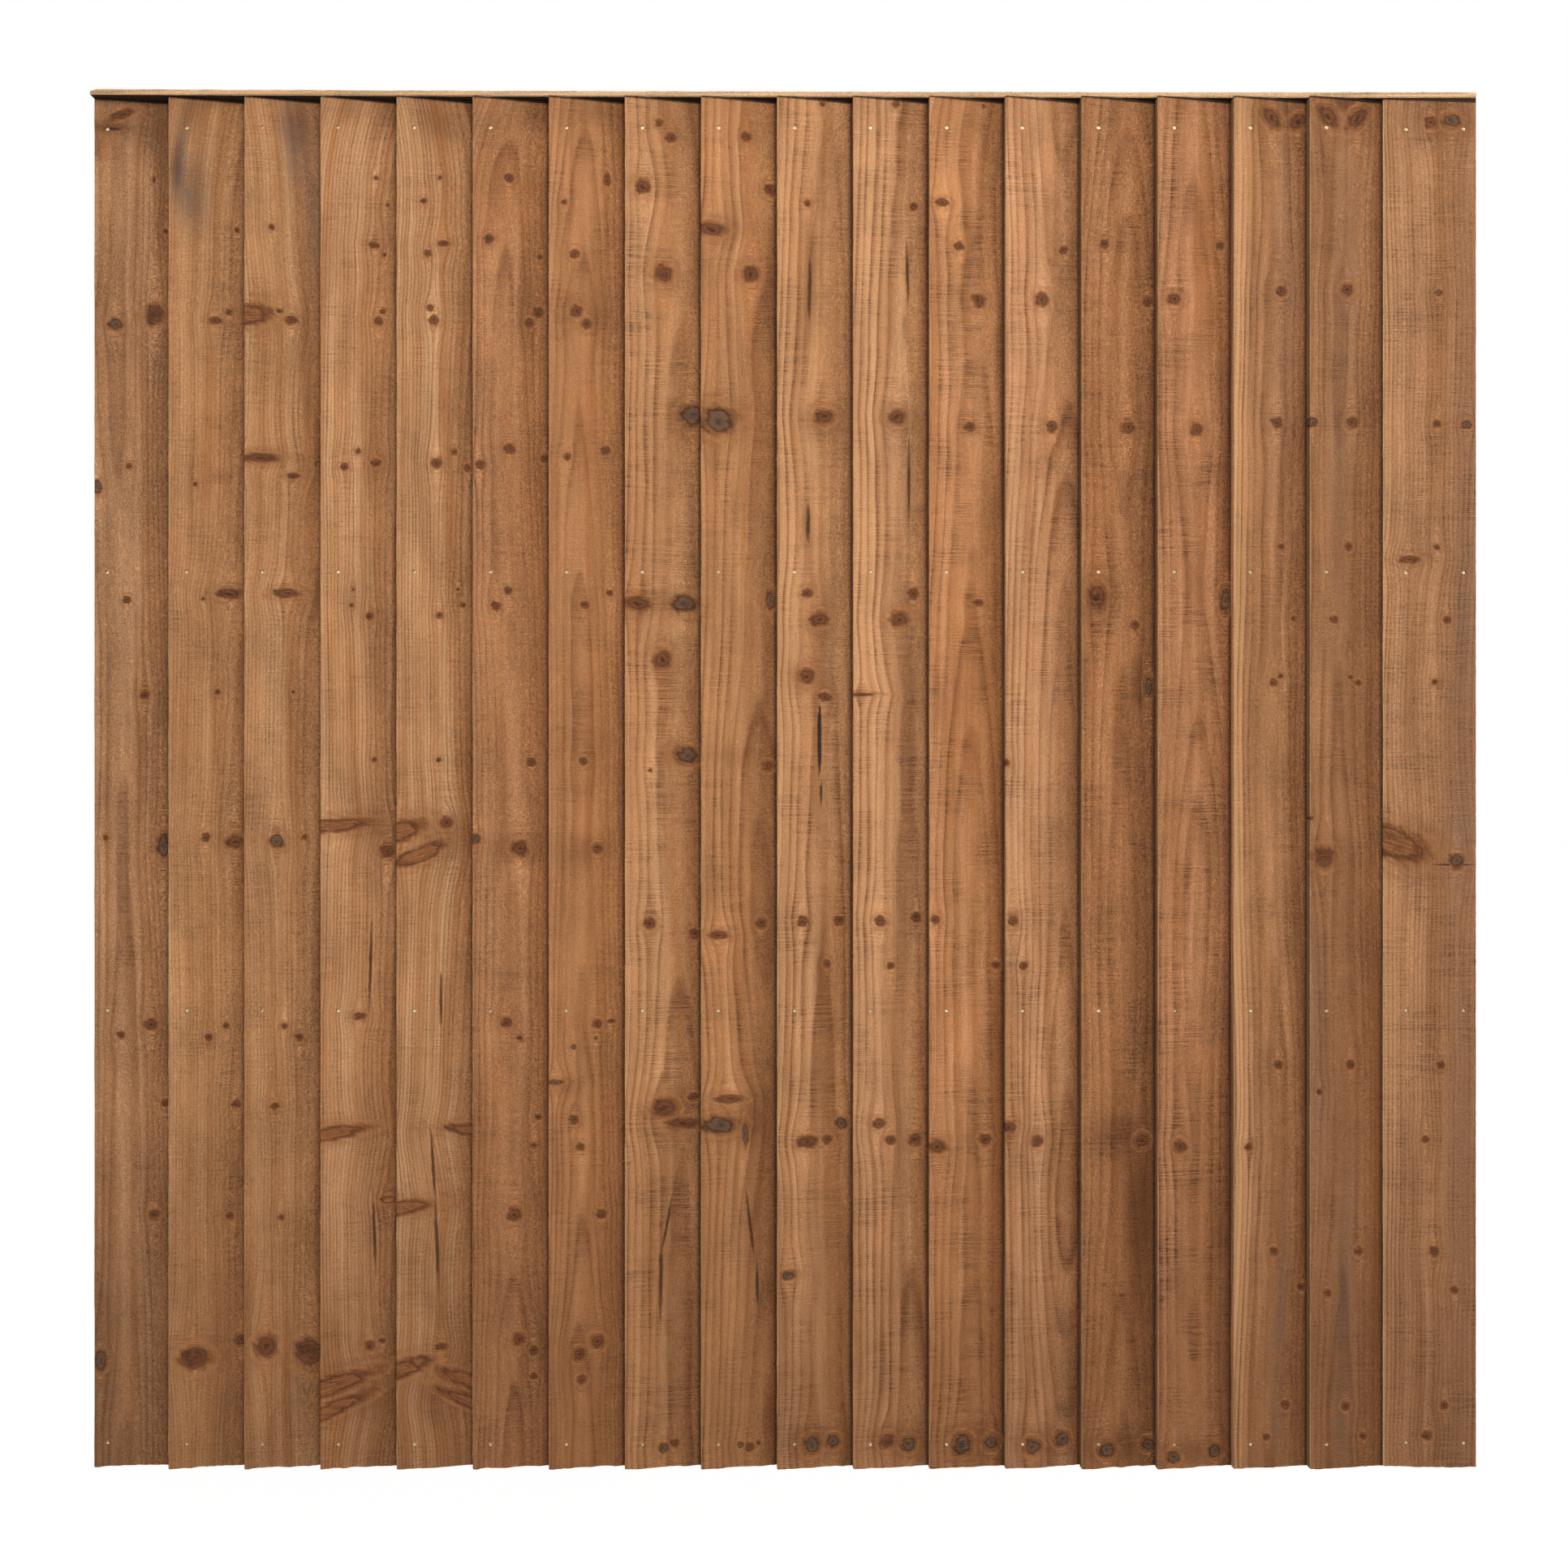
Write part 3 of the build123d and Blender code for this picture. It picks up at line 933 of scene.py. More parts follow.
@dataclass
class WireNails:
    """Round wire nails, modelled once and copied to where the CAD nails are.

    All sizes are in mm. A nail that cuts its own hole sticks out by what above says.
    """

    head_radius: float
    head_thick: float
    shank_radius: float
    length: float
    point: float
    sides: int = 16
    above: float = 4.0

    def model(self, name: str, spare: float = 0.0) -> bpy.types.Object:
        """Models one nail at the origin, its head's top at 0 and its point down.

        Args:
            name: its name.
            spare: how much wider all round, where it is to cut its own hole.

        Returns:
            The nail, with a dished head, or with one that sticks out above for a cutter.
        """
        deselect()
        bpy.ops.mesh.primitive_cylinder_add(
            vertices=self.sides, radius=(self.head_radius + spare) * MM, depth=self.head_thick * MM,
            location=(0, 0, -self.head_thick / 2 * MM))
        nail = bpy.context.object
        nail.name = nail.data.name = name
        bpy.ops.object.transform_apply(location=True, rotation=True, scale=True)
        select_faces(nail, -1)
        bpy.ops.mesh.inset(thickness=(self.head_radius - self.shank_radius) * MM)
        for run in (self.length - self.head_thick - self.point, self.point):
            bpy.ops.mesh.extrude_region_move(TRANSFORM_OT_translate={"value": (0, 0, -run * MM)})
        bpy.ops.transform.resize(value=(0.08, 0.08, 1.0))
        select_faces(nail, 1)
        if spare:
            bpy.ops.mesh.extrude_region_move(TRANSFORM_OT_translate={"value": (0, 0, self.above * MM)})
        else:
            bpy.ops.mesh.inset(thickness=0.25 * self.head_radius * MM)
            bpy.ops.mesh.inset(thickness=0.35 * self.head_radius * MM)
            bpy.ops.transform.translate(value=(0, 0, -0.5 * self.head_thick * MM))
        deselect()
        return nail


def spread(values: np.ndarray, gap: float) -> list[np.ndarray]:
    """Parts sorted values where two neighbours lie further apart than the gap.

    Args:
        values: the places of vertices along one axis, in mm.
        gap: the least distance between two groups, in mm.

    Returns:
        For each group, a mask over the values.
    """
    ordered = np.sort(values)
    breaks = np.where(np.diff(ordered) > gap)[0]
    lows = np.concatenate([[ordered[0]], ordered[breaks + 1]])
    highs = np.concatenate([ordered[breaks], [ordered[-1]]])
    return [(values >= a) & (values <= b) for a, b in zip(lows, highs)]


class Facing(Enum):
    """Which way the heads of a group of nails face: their axis and its sign."""

    FRONT = (1, -1)
    LEFT = (0, -1)
    RIGHT = (0, 1)
    TOP = (2, 1)


@dataclass
class NailGroup:
    """The nails of one CAD node, all driven the same way and more than the gap apart, in mm."""

    node: str
    facing: Facing
    gap: float = 6.0
    heads: list[tuple[float, float, float]] = field(default_factory=list)

    def __post_init__(self) -> None:
        """Finds the middle of each head's top on the CAD node, in mm."""
        points = read_points(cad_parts[self.node])
        axis, sign = self.facing.value
        apart = 2 if axis == 0 else 0
        for mask in spread(points[:, apart], self.gap):
            group = points[mask]
            middle = (group.min(axis=0) + group.max(axis=0)) / 2
            middle[axis] = group[:, axis].max() if sign > 0 else group[:, axis].min()
            self.heads.append(tuple(middle))

    def drive(self, nail: bpy.types.Object, name: str, only: set[int] | None = None) -> bpy.types.Object:
        """Copies a nail to each head's place.

        Args:
            nail: the nail, head up at the origin.
            name: the name of the joined copies.
            only: the numbers of the heads wanted, or all of them.

        Returns:
            All the copies as one object.
        """
        axis, sign = self.facing.value
        outward = Vector([sign if number == axis else 0 for number in range(3)])
        turn = outward.to_track_quat("Z", "Y").to_matrix().to_4x4()
        copies = []
        for number, head in enumerate(self.heads):
            if only is not None and number not in only:
                continue
            twin = copy_of(nail, f"{name}_{number:02d}")
            twin.data.transform(Matrix.Translation(Vector(head) * MM) @ turn)
            copies.append(twin)
        return join(copies, name)

    def fit(self, nail: bpy.types.Object, name: str, steel: bpy.types.Material) -> None:
        """Drives all the nails, dresses them and lets them stand for their CAD node."""
        driven = self.drive(nail, name)
        dress(driven, steel)
        settle(driven, "nail_steel", self.node)


def drill(piece: bpy.types.Object, cutter: bpy.types.Object) -> None:
    """Takes a cutter's shape out of a piece, and removes the cutter."""
    make_active(piece)
    cut = piece.modifiers.new("holes", "BOOLEAN")
    cut.operation = "DIFFERENCE"
    cut.object = cutter
    cut.solver = "MANIFOLD"
    bpy.ops.object.modifier_apply(modifier=cut.name)
    bpy.data.objects.remove(cutter)


@dataclass
class BoardWall:
    """The lapped boards with their nails."""

    boards: list[FeatherBoard]
    across_cuts: list[int] = field(default_factory=lambda: [2, 8])
    through_cuts: list[int] = field(default_factory=lambda: [2])
    along_cuts: list[int] = field(default_factory=lambda: [16, 16])
    nail: WireNails = field(default_factory=lambda: WireNails(2.35, 0.9, 1.3, 40.0, 4.0))

    def build(self) -> None:
        """Builds the boards, cuts their nail holes and drives the nails."""
        block = blank("block", self.across_cuts, self.through_cuts, self.along_cuts)
        rows = [NailGroup(f"board_nails_row_{number}", Facing.FRONT) for number in (1, 2, 3, 4)]
        cutter_nail = self.nail.model("cutter_nail", spare=0.35)
        nail = self.nail.model("board_nail")
        sliver = self.sliver()
        for board in self.boards:
            piece = board.shape(block)
            drill(piece, self.holes(board, rows, cutter_nail))
            if board.number > 1:
                piece = board.fray(piece, sliver)
            board.note_grain(piece)
            dress(piece, board.finish.make())
            settle(piece, "sawn_board", board.node)
        steel = GalvanisedWire().make()
        for number, row in enumerate(rows, start=1):
            row.fit(nail, f"wire_nails_row_{number}", steel)
        for spent in (block, cutter_nail, nail, sliver):
            bpy.data.objects.remove(spent)

    def sliver(self) -> bpy.types.Object:
        """A loose fibre: a bent three-sided point, 1 mm long, that stands on the origin."""
        deselect()
        bpy.ops.mesh.primitive_cone_add(vertices=3, radius1=MM, radius2=0.7 * MM, depth=0.4 * MM,
                                        location=(0, 0, 0.2 * MM))
        fibre = bpy.context.object
        bpy.ops.object.transform_apply(location=True, rotation=True, scale=True)
        select_faces(fibre, 1)
        bpy.ops.mesh.extrude_region_move(TRANSFORM_OT_translate={"value": (0.9 * MM, 0, 0.6 * MM)})
        bpy.ops.transform.resize(value=(0.1, 0.1, 1.0))
        bpy.ops.object.mode_set(mode="OBJECT")
        return fibre

    def holes(self, board: FeatherBoard, rows: list[NailGroup],
              cutter_nail: bpy.types.Object) -> bpy.types.Object:
        """The cutter for the holes and recesses of the nails that go through one board.

        Args:
            board: the board.
            rows: the rows of nails.
            cutter_nail: a nail a little wider than the real one.

        Returns:
            Those nails as one object.
        """
        low, high = box_of(board.node)
        groups = []
        for row in rows:
            inside = {number for number, head in enumerate(row.heads)
                      if low[0] + 2 < head[0] < high[0] - 2}
            if inside:
                groups.append(row.drive(cutter_nail, "cutter", inside))
        return join(groups, "cutter")


@dataclass
class SawnBar:
    """A rail or stile: a sawn bar of rectangular section, its grain along its length."""

    node: str
    axis: int
    finish: SawnSoftwood
    seed: int
    pith: tuple[float, float] = (20.0, -30.0)
    spacing: float = 3.4
    knot_gap: float = 330.0
    wear: float = 0.45
    inset: float = 0.05
    # Whether the underside is painted near black, as the shade under the cap.
    under_dark: bool = False

    def shape(self, block: bpy.types.Object, name: str) -> bpy.types.Object:
        """Shapes a copy of the block into the bar.

        Args:
            block: the unit block, its fine grid along the bar's axis.
            name: the piece's name.

        Returns:
            The bar, with worn arrises inside its true size.
        """
        rng = np.random.default_rng(self.seed)
        bar = copy_of(block, name)
        unit = read_points(bar) + 0.5
        low, high = box_of(self.node)
        size = high - low
        rows = np.arange(BAR_CELLS[1] + 1)
        line = np.round(unit[:, self.axis] * BAR_CELLS[1]).astype(int)
        points = np.empty_like(unit)
        edges = []
        for number in range(3):
            cells = BAR_CELLS[1] if number == self.axis else BAR_CELLS[0]
            share = lipped(unit[:, number], cells, BAR_LIP / size[number])
            end = (unit[:, number] < ON_END) * 1 - (unit[:, number] > 1 - ON_END) * 1
            points[:, number] = low[number] + size[number] * share + end * self.inset
            edges.append(end)
        first, second = (number for number in range(3) if number != self.axis)
        arris = (edges[first] != 0) & (edges[second] != 0)
        for number in (first, second):
            worn = self.wear * (1 + np.abs(smooth_noise(rng, rows, 3.0)))[line]
            points[:, number] += edges[number] * arris * worn
        write_points(bar, points)
        return bar

    def note_grain(self, bar: bpy.types.Object) -> None:
        """Writes the attributes that the finish reads: grain, place, tint, cover and knot."""
        rng = np.random.default_rng(self.seed + 50)
        points = read_points(bar)
        low, high = box_of(self.node)
        first, second = (2, 1) if self.axis == 0 else (0, 1)
        a = points[:, first] - low[first]
        b = points[:, second] - low[second]
        length = points[:, self.axis] - low[self.axis]
        around = a + (high[second] - low[second]) - b
        knots = self.scatter(rng, high[self.axis] - low[self.axis], high[first] - low[first])
        bend = smooth_noise(rng, length, 400) * 4.0
        for knot in knots:
            bend = bend - give_way(around - knot.across, length - knot.height, 0.8 * knot.wide / 2,
                                   2.2 * knot.tall, 4.0, 1.5 * knot.wide)
        rings = np.hypot(a + bend - self.pith[0], b - self.pith[1] + 0.006 * length) / self.spacing
        write_attribute(bar, "grain", "POINT", np.stack(
            [rings + self.seed, around + bend + 31 * self.seed, length + 47 * self.seed], axis=1))
        none = np.zeros(len(a))
        far = none + FAR
        write_attribute(bar, "place", "POINT", np.stack([none + 50, far, none], axis=1))
        write_attribute(bar, "tint", "POINT", np.stack([none, none, none], axis=1))
        # An underside that has it gets the painted near-black shade of the cap's underside.
        shaded = np.where(points[:, 2] < low[2] + 0.1, 0, FAR) if self.under_dark else far
        write_attribute(bar, "cover", "POINT", np.stack([none, shaded, none], axis=1))
        note_knots(bar, around, length, knots)

    def scatter(self, rng: np.random.Generator, length: float, width: float) -> list[Knot]:
        """Whorls of two or three knots, spaced as a young tree's branches are."""
        knots = []
        place = rng.uniform(60, self.knot_gap)
        while place < length - 30:
            for _ in range(rng.integers(2, 4)):
                size = rng.uniform(5, 17)
                larger = [KnotKind.SOUND, KnotKind.DEAD, KnotKind.SOUND]
                kind = KnotKind.PIN if size < 9 else rng.choice(larger)
                knots.append(Knot(rng.uniform(2, width + 20), place + rng.uniform(-22, 22), size,
                                  size * rng.uniform(0.9, 1.3), kind))
            place += self.knot_gap * rng.uniform(0.6, 1.4)
        return knots


@dataclass
class CapStrip(SawnBar):
    """The thin strip over the ends of the boards, bowed along its front edge."""

    knots: list[Knot] = field(default_factory=list)
    worn_length: float = 5.5
    worn_height: float = 4.0

    def front_edge(self) -> tuple[np.ndarray, np.ndarray]:
        """The X and Y of the CAD strip's front edge, in mm, in order of X."""
        points = np.round(read_points(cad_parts[self.node]), 3)
        places = np.unique(points[:, 0])
        fronts = np.array([points[points[:, 0] == x, 1].min() for x in places])
        keep = fronts < points[:, 1].min() + 12
        return places[keep], fronts[keep]

    def shape(self, block: bpy.types.Object, name: str) -> bpy.types.Object:
        """Shapes a copy of the block into the strip, in between its bowed edges."""
        rng = np.random.default_rng(self.seed)
        strip = super().shape(block, name)
        points = read_points(strip)
        low, high = box_of(self.node)
        places, fronts = self.front_edge()
        front = np.interp(points[:, 0], places, fronts)
        share = (points[:, 1] - low[1]) / (high[1] - low[1])
        points[:, 1] = front + share * (high[1] - fronts.max())
        rows = np.arange(BAR_CELLS[1] + 1)
        line = np.round((points[:, 0] - low[0]) / (high[0] - low[0]) * BAR_CELLS[1]).astype(int)
        rough = (np.abs(smooth_noise(rng, rows, 1.2)) * 0.35
                 + np.abs(smooth_noise(rng, rows, 7)) * 0.35)[line]
        at_top = points[:, 2] > high[2] - 1.6
        at_front = share < 0.03
        points[:, 2] -= at_top * rough * (0.4 + 0.6 * at_front)
        points[:, 1] += at_front * rough * 0.5
        worn = self.worn_height * np.clip(1 - (points[:, 0] - low[0]) / self.worn_length, 0, 1)
        points[:, 2] = np.minimum(points[:, 2], high[2] - worn)
        write_points(strip, points)
        return strip

    def scatter(self, rng: np.random.Generator, length: float, width: float) -> list[Knot]:
        """The knots that the strip is known to have."""
        return self.knots


# What the rails and stiles share: a plainer grain and more marks of the saw than the boards have.
FRAME_GRAIN = {"rings": 0.6, "saw": 0.7, "flecks": 0.5}


@dataclass
class BackFrame:
    """Rails, stiles and cap strip with the nails that hold them."""

    rails: tuple[str, ...] = ("bottom_rail", "middle_rail_1", "middle_rail_2", "top_rail")
    stiles: tuple[str, ...] = ("left_stile", "right_stile")
    housing_spare: float = 0.2
    housing_past: float = 5.0
    frame_nail: WireNails = field(default_factory=lambda: WireNails(3.3, 1.2, 1.7, 75.0, 5.0))
    cap_nail: WireNails = field(default_factory=lambda: WireNails(2.0, 0.7, 1.05, 36.0, 3.0))

    def build(self) -> None:
        """Builds the frame's timbers and drives their nails."""
        lying = blank("lying_block", [16, 16], [5], [5])
        standing = blank("standing_block", [5], [5], [16, 16])
        steel = GalvanisedWire("galvanised_frame_nail_wire").make()
        left = NailGroup("frame_nails_left", Facing.LEFT)
        right = NailGroup("frame_nails_right", Facing.RIGHT)
        top = NailGroup("cap_nails", Facing.TOP)
        frame_nail = self.frame_nail.model("frame_nail")
        frame_cutter = self.frame_nail.model("cutter_nail", 0.3)
        cap_nail = self.cap_nail.model("cap_nail")
        cap_cutter = self.cap_nail.model("cutter_nail", 0.2)
        self.build_rails(lying)
        self.build_stiles(standing, (left, right), frame_cutter)
        self.build_cap(lying, top.drive(cap_cutter, "cutter"))
        left.fit(frame_nail, "wire_nails_left", steel)
        right.fit(frame_nail, "wire_nails_right", steel)
        top.fit(cap_nail, "wire_nails_cap", steel)
        for spent in (lying, standing, frame_nail, frame_cutter, cap_nail, cap_cutter):
            bpy.data.objects.remove(spent)

    def build_rails(self, block: bpy.types.Object) -> None:
        """Builds the rails from a block with its fine grid along X."""
        for number, node in enumerate(self.rails):
            finish = SawnSoftwood(f"sawn_rail_softwood_{number + 1}", pale="B98559", mid="9E6B43",
                                  **FRAME_GRAIN)
            bar = SawnBar(node, 0, finish, seed=11 + number, pith=(15.0 + 9 * number, -35.0))
            self.finish_bar(bar, bar.shape(block, f"sawn_{node}"), "frame_timber")

    def build_stiles(self, block: bpy.types.Object, nails: tuple[NailGroup, NailGroup],
                     cutter_nail: bpy.types.Object) -> None:
        """Builds the stiles, with their housings and nail holes.

        Args:
            block: a block with its fine grid along Z.
            nails: the nails of the left and the right stile.
            cutter_nail: a nail a little wider than the real one.
        """
        for number, (node, group) in enumerate(zip(self.stiles, nails)):
            finish = SawnSoftwood(f"sawn_stile_softwood_{number + 1}", pale="B58156", mid="9A6840",
                                  **FRAME_GRAIN)
            bar = SawnBar(node, 2, finish, seed=23 + number, pith=(-25.0, 12.0))
            piece = bar.shape(block, f"sawn_{node}")
            drill(piece, self.housings())
            drill(piece, group.drive(cutter_nail, "cutter"))
            self.finish_bar(bar, piece, "frame_timber")

    def build_cap(self, block: bpy.types.Object, cutter: bpy.types.Object) -> None:
        """Builds the cap strip from a block with its fine grid along X, and a cutter for its holes."""
        finish = SawnSoftwood("pale_sawn_cap_softwood", pale="DDB68E", mid="CBA27A", late="A87C55",
                              heart="C49A72", rings=0.5, saw=0.4, mottle=0.5, flecks=0.4)
        knots = [Knot(-2, 834, 9, 46, KnotKind.DEAD), Knot(-3, 281, 5, 5, KnotKind.PIN),
                 Knot(-4, 1148, 8, 2.5, KnotKind.SPLIT), Knot(-4, 1762, 8, 3, KnotKind.SPLIT),
                 Knot(24, 1100, 12, 14), Knot(15, 420, 9, 11), Knot(36, 1500, 10, 12)]
        strip = CapStrip("cap", 0, finish, seed=37, pith=(30.0, -60.0), under_dark=True, knots=knots)
        piece = strip.shape(block, "sawn_cap_strip")
        drill(piece, cutter)
        self.finish_bar(strip, piece, "cap_timber")

    def housings(self) -> bpy.types.Object:
        """The cutter for the housings of the rails: their boxes, wider, and past the open sides."""
        boxes = []
        for node in self.rails:
            low, high = (np.array(corner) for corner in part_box(node))
            low, high = low - self.housing_spare * MM, high + self.housing_spare * MM
            low[1], high[1] = low[1] - self.housing_past * MM, high[1] + self.housing_past * MM
            if node == "top_rail":
                high[2] += self.housing_past * MM
            if node == "bottom_rail":
                low[2] -= self.housing_past * MM
            deselect()
            bpy.ops.mesh.primitive_cube_add(size=1, location=tuple((low + high) / 2),
                                            scale=tuple(high - low))
            box = bpy.context.object
            bpy.ops.object.transform_apply(location=True, rotation=True, scale=True)
            boxes.append(box)
        return join(boxes, "cutter")

    def finish_bar(self, bar: SawnBar, piece: bpy.types.Object, slot: str) -> None:
        """Notes a bar's grain, dresses it and lets it stand for its CAD node."""
        bar.note_grain(piece)
        dress(piece, bar.finish.make())
        settle(piece, slot, bar.node)


@dataclass
class Studio:
    """Floor, lights and camera."""

    camera_back: float = 1861.75
    camera_height: float = 904.0
    camera_aside: float = -1.0
    lens: float = 31.92
    world_level: float = 0.92

    def build(self) -> None:
        """Lays the floor, lights the panel and sets the camera."""
        self.lay_floor()
        self.light()
        lens = bpy.data.cameras.new("camera")
        lens.lens = self.lens
        lens.sensor_width = 36.0
        camera = bpy.data.objects.new("camera", lens)
        camera.location = (self.camera_aside * MM, -self.camera_back * MM, self.camera_height * MM)
        camera.rotation_euler = (math.pi / 2, 0, 0)
        bpy.context.scene.collection.objects.link(camera)
        bpy.context.scene.camera = camera

    def lay_floor(self) -> None:
        """A plain white floor that keeps a faint shadow."""
        deselect()
        bpy.ops.mesh.primitive_plane_add(size=60.0, location=(0, 0, 0))
        floor = bpy.context.object
        bpy.ops.object.mode_set(mode="EDIT")
        bpy.ops.mesh.select_all(action="SELECT")
        bpy.ops.mesh.subdivide(number_cuts=3)
        bpy.ops.object.mode_set(mode="OBJECT")
        floor.name = floor.data.name = "studio_floor"
        r = Recipe("studio_white")
        path = r.add("LightPath", out="Is Camera Ray")
        share = r.add("Math", {0: path, 1: 0.8}, operation="MULTIPLY")
        matt = r.add("BsdfDiffuse", {"Color": linear("A4A4A4")})
        glow = r.add("Emission", {"Color": (1, 1, 1, 1), "Strength": 1.16})
        r.add("OutputMaterial", {"Surface": r.add("MixShader", {0: share, 1: matt, 2: glow})})
        dress(floor, r.material)

    def light(self) -> None:
        """An even white surround, and a large soft lamp high in front."""
        world = bpy.data.worlds.new("studio")
        bpy.context.scene.world = world
        world.use_nodes = True
        sky = NodeTree(world.node_tree)
        seen = sky.add("Math", {0: sky.add("LightPath", out="Is Camera Ray"),
                                1: sky.add("LightPath", out="Is Glossy Ray")}, operation="MAXIMUM")
        level = sky.add("MapRange", {0: seen, 3: self.world_level, 4: 1.0})
        back = sky.add("Background", {"Color": (1, 1, 1, 1), "Strength": level})
        sky.add("OutputWorld", {"Surface": back})
        self.lamp("key", (0.9, -3.4, 3.6), (0, 0, 0.9), 2.2, 138.0)
        self.lamp("back_fill", (-1.2, 3.6, 3.0), (0, 0, 0.9), 2.2, 80.0)

    def lamp(self, name: str, place: tuple, towards: tuple, size: float, power: float) -> None:
        """Adds a square soft lamp.

        Args:
            name: its name.
            place: where it hangs, in m.
            towards: the point that it faces, in m.
            size: its side, in m.
            power: its power, in W.
        """
        data = bpy.data.lights.new(name, "AREA")
        data.size = size
        data.energy = power
        lamp = bpy.data.objects.new(name, data)
        lamp.location = place
        aim = Vector(towards) - Vector(place)
        lamp.rotation_euler = aim.to_track_quat("-Z", "Y").to_euler()
        bpy.context.scene.collection.objects.link(lamp)


def knot_at(kind: KnotKind, across: float, height: float, wide: float, tall: float | None = None,
            slant: float = 0.0) -> Knot:
    """Makes a knot or split from its place.

    Args:
        kind: what it is.
        across: its distance from the board's left arris, in mm.
        height: its height over the foot, in mm.
        wide: its width, in mm.
        tall: its own height, in mm, where it isn't round.
        slant: the lean of a split, or the rise of any other kind.

    Returns:
        The knot.
    """
    tall = wide if tall is None else tall
    if kind is KnotKind.SPLIT:
        return Knot(across, height, wide, tall, kind, lean=slant)
    return Knot(across, height, wide, tall, kind, rise=slant)


def sound(*places: tuple[float, ...]) -> list[Knot]:
    """Sound knots, each given as knot_at takes it. One under 9.5 mm wide is a pin knot."""
    return [knot_at(KnotKind.SOUND if place[2] > 9.5 else KnotKind.PIN, *place) for place in places]


def dead(*places: tuple[float, ...]) -> list[Knot]:
    """Dead, dark knots."""
    return [knot_at(KnotKind.DEAD, *place) for place in places]


def ringed(*places: tuple[float, ...]) -> list[Knot]:
    """Knots with pale rings."""
    return [knot_at(KnotKind.RINGED, *place) for place in places]


def splits(*places: tuple[float, ...]) -> list[Knot]:
    """Splits, of which the fourth number is the length and the fifth the lean."""
    return [knot_at(KnotKind.SPLIT, *place) for place in places]


def branches(*places: tuple[float, ...]) -> list[Knot]:
    """Side branches cut lengthwise."""
    return [knot_at(KnotKind.BRANCH, *place) for place in places]


def stains_and_shade(tint: Tint, *places: tuple[float, ...]) -> list[Patch]:
    """Patches of one tint, each given as across, height, width, own height and amount: stains, and painted
    shade in the tall dark strips by a lap.
    """
    return [Patch(tint, *place) for place in places]


def dipped(number: int, **looks: Any) -> SawnSoftwood:
    """The finish of one board, from its number and what differs from the usual look."""
    return SawnSoftwood(f"brown_dipped_softwood_{number:02d}", **looks)


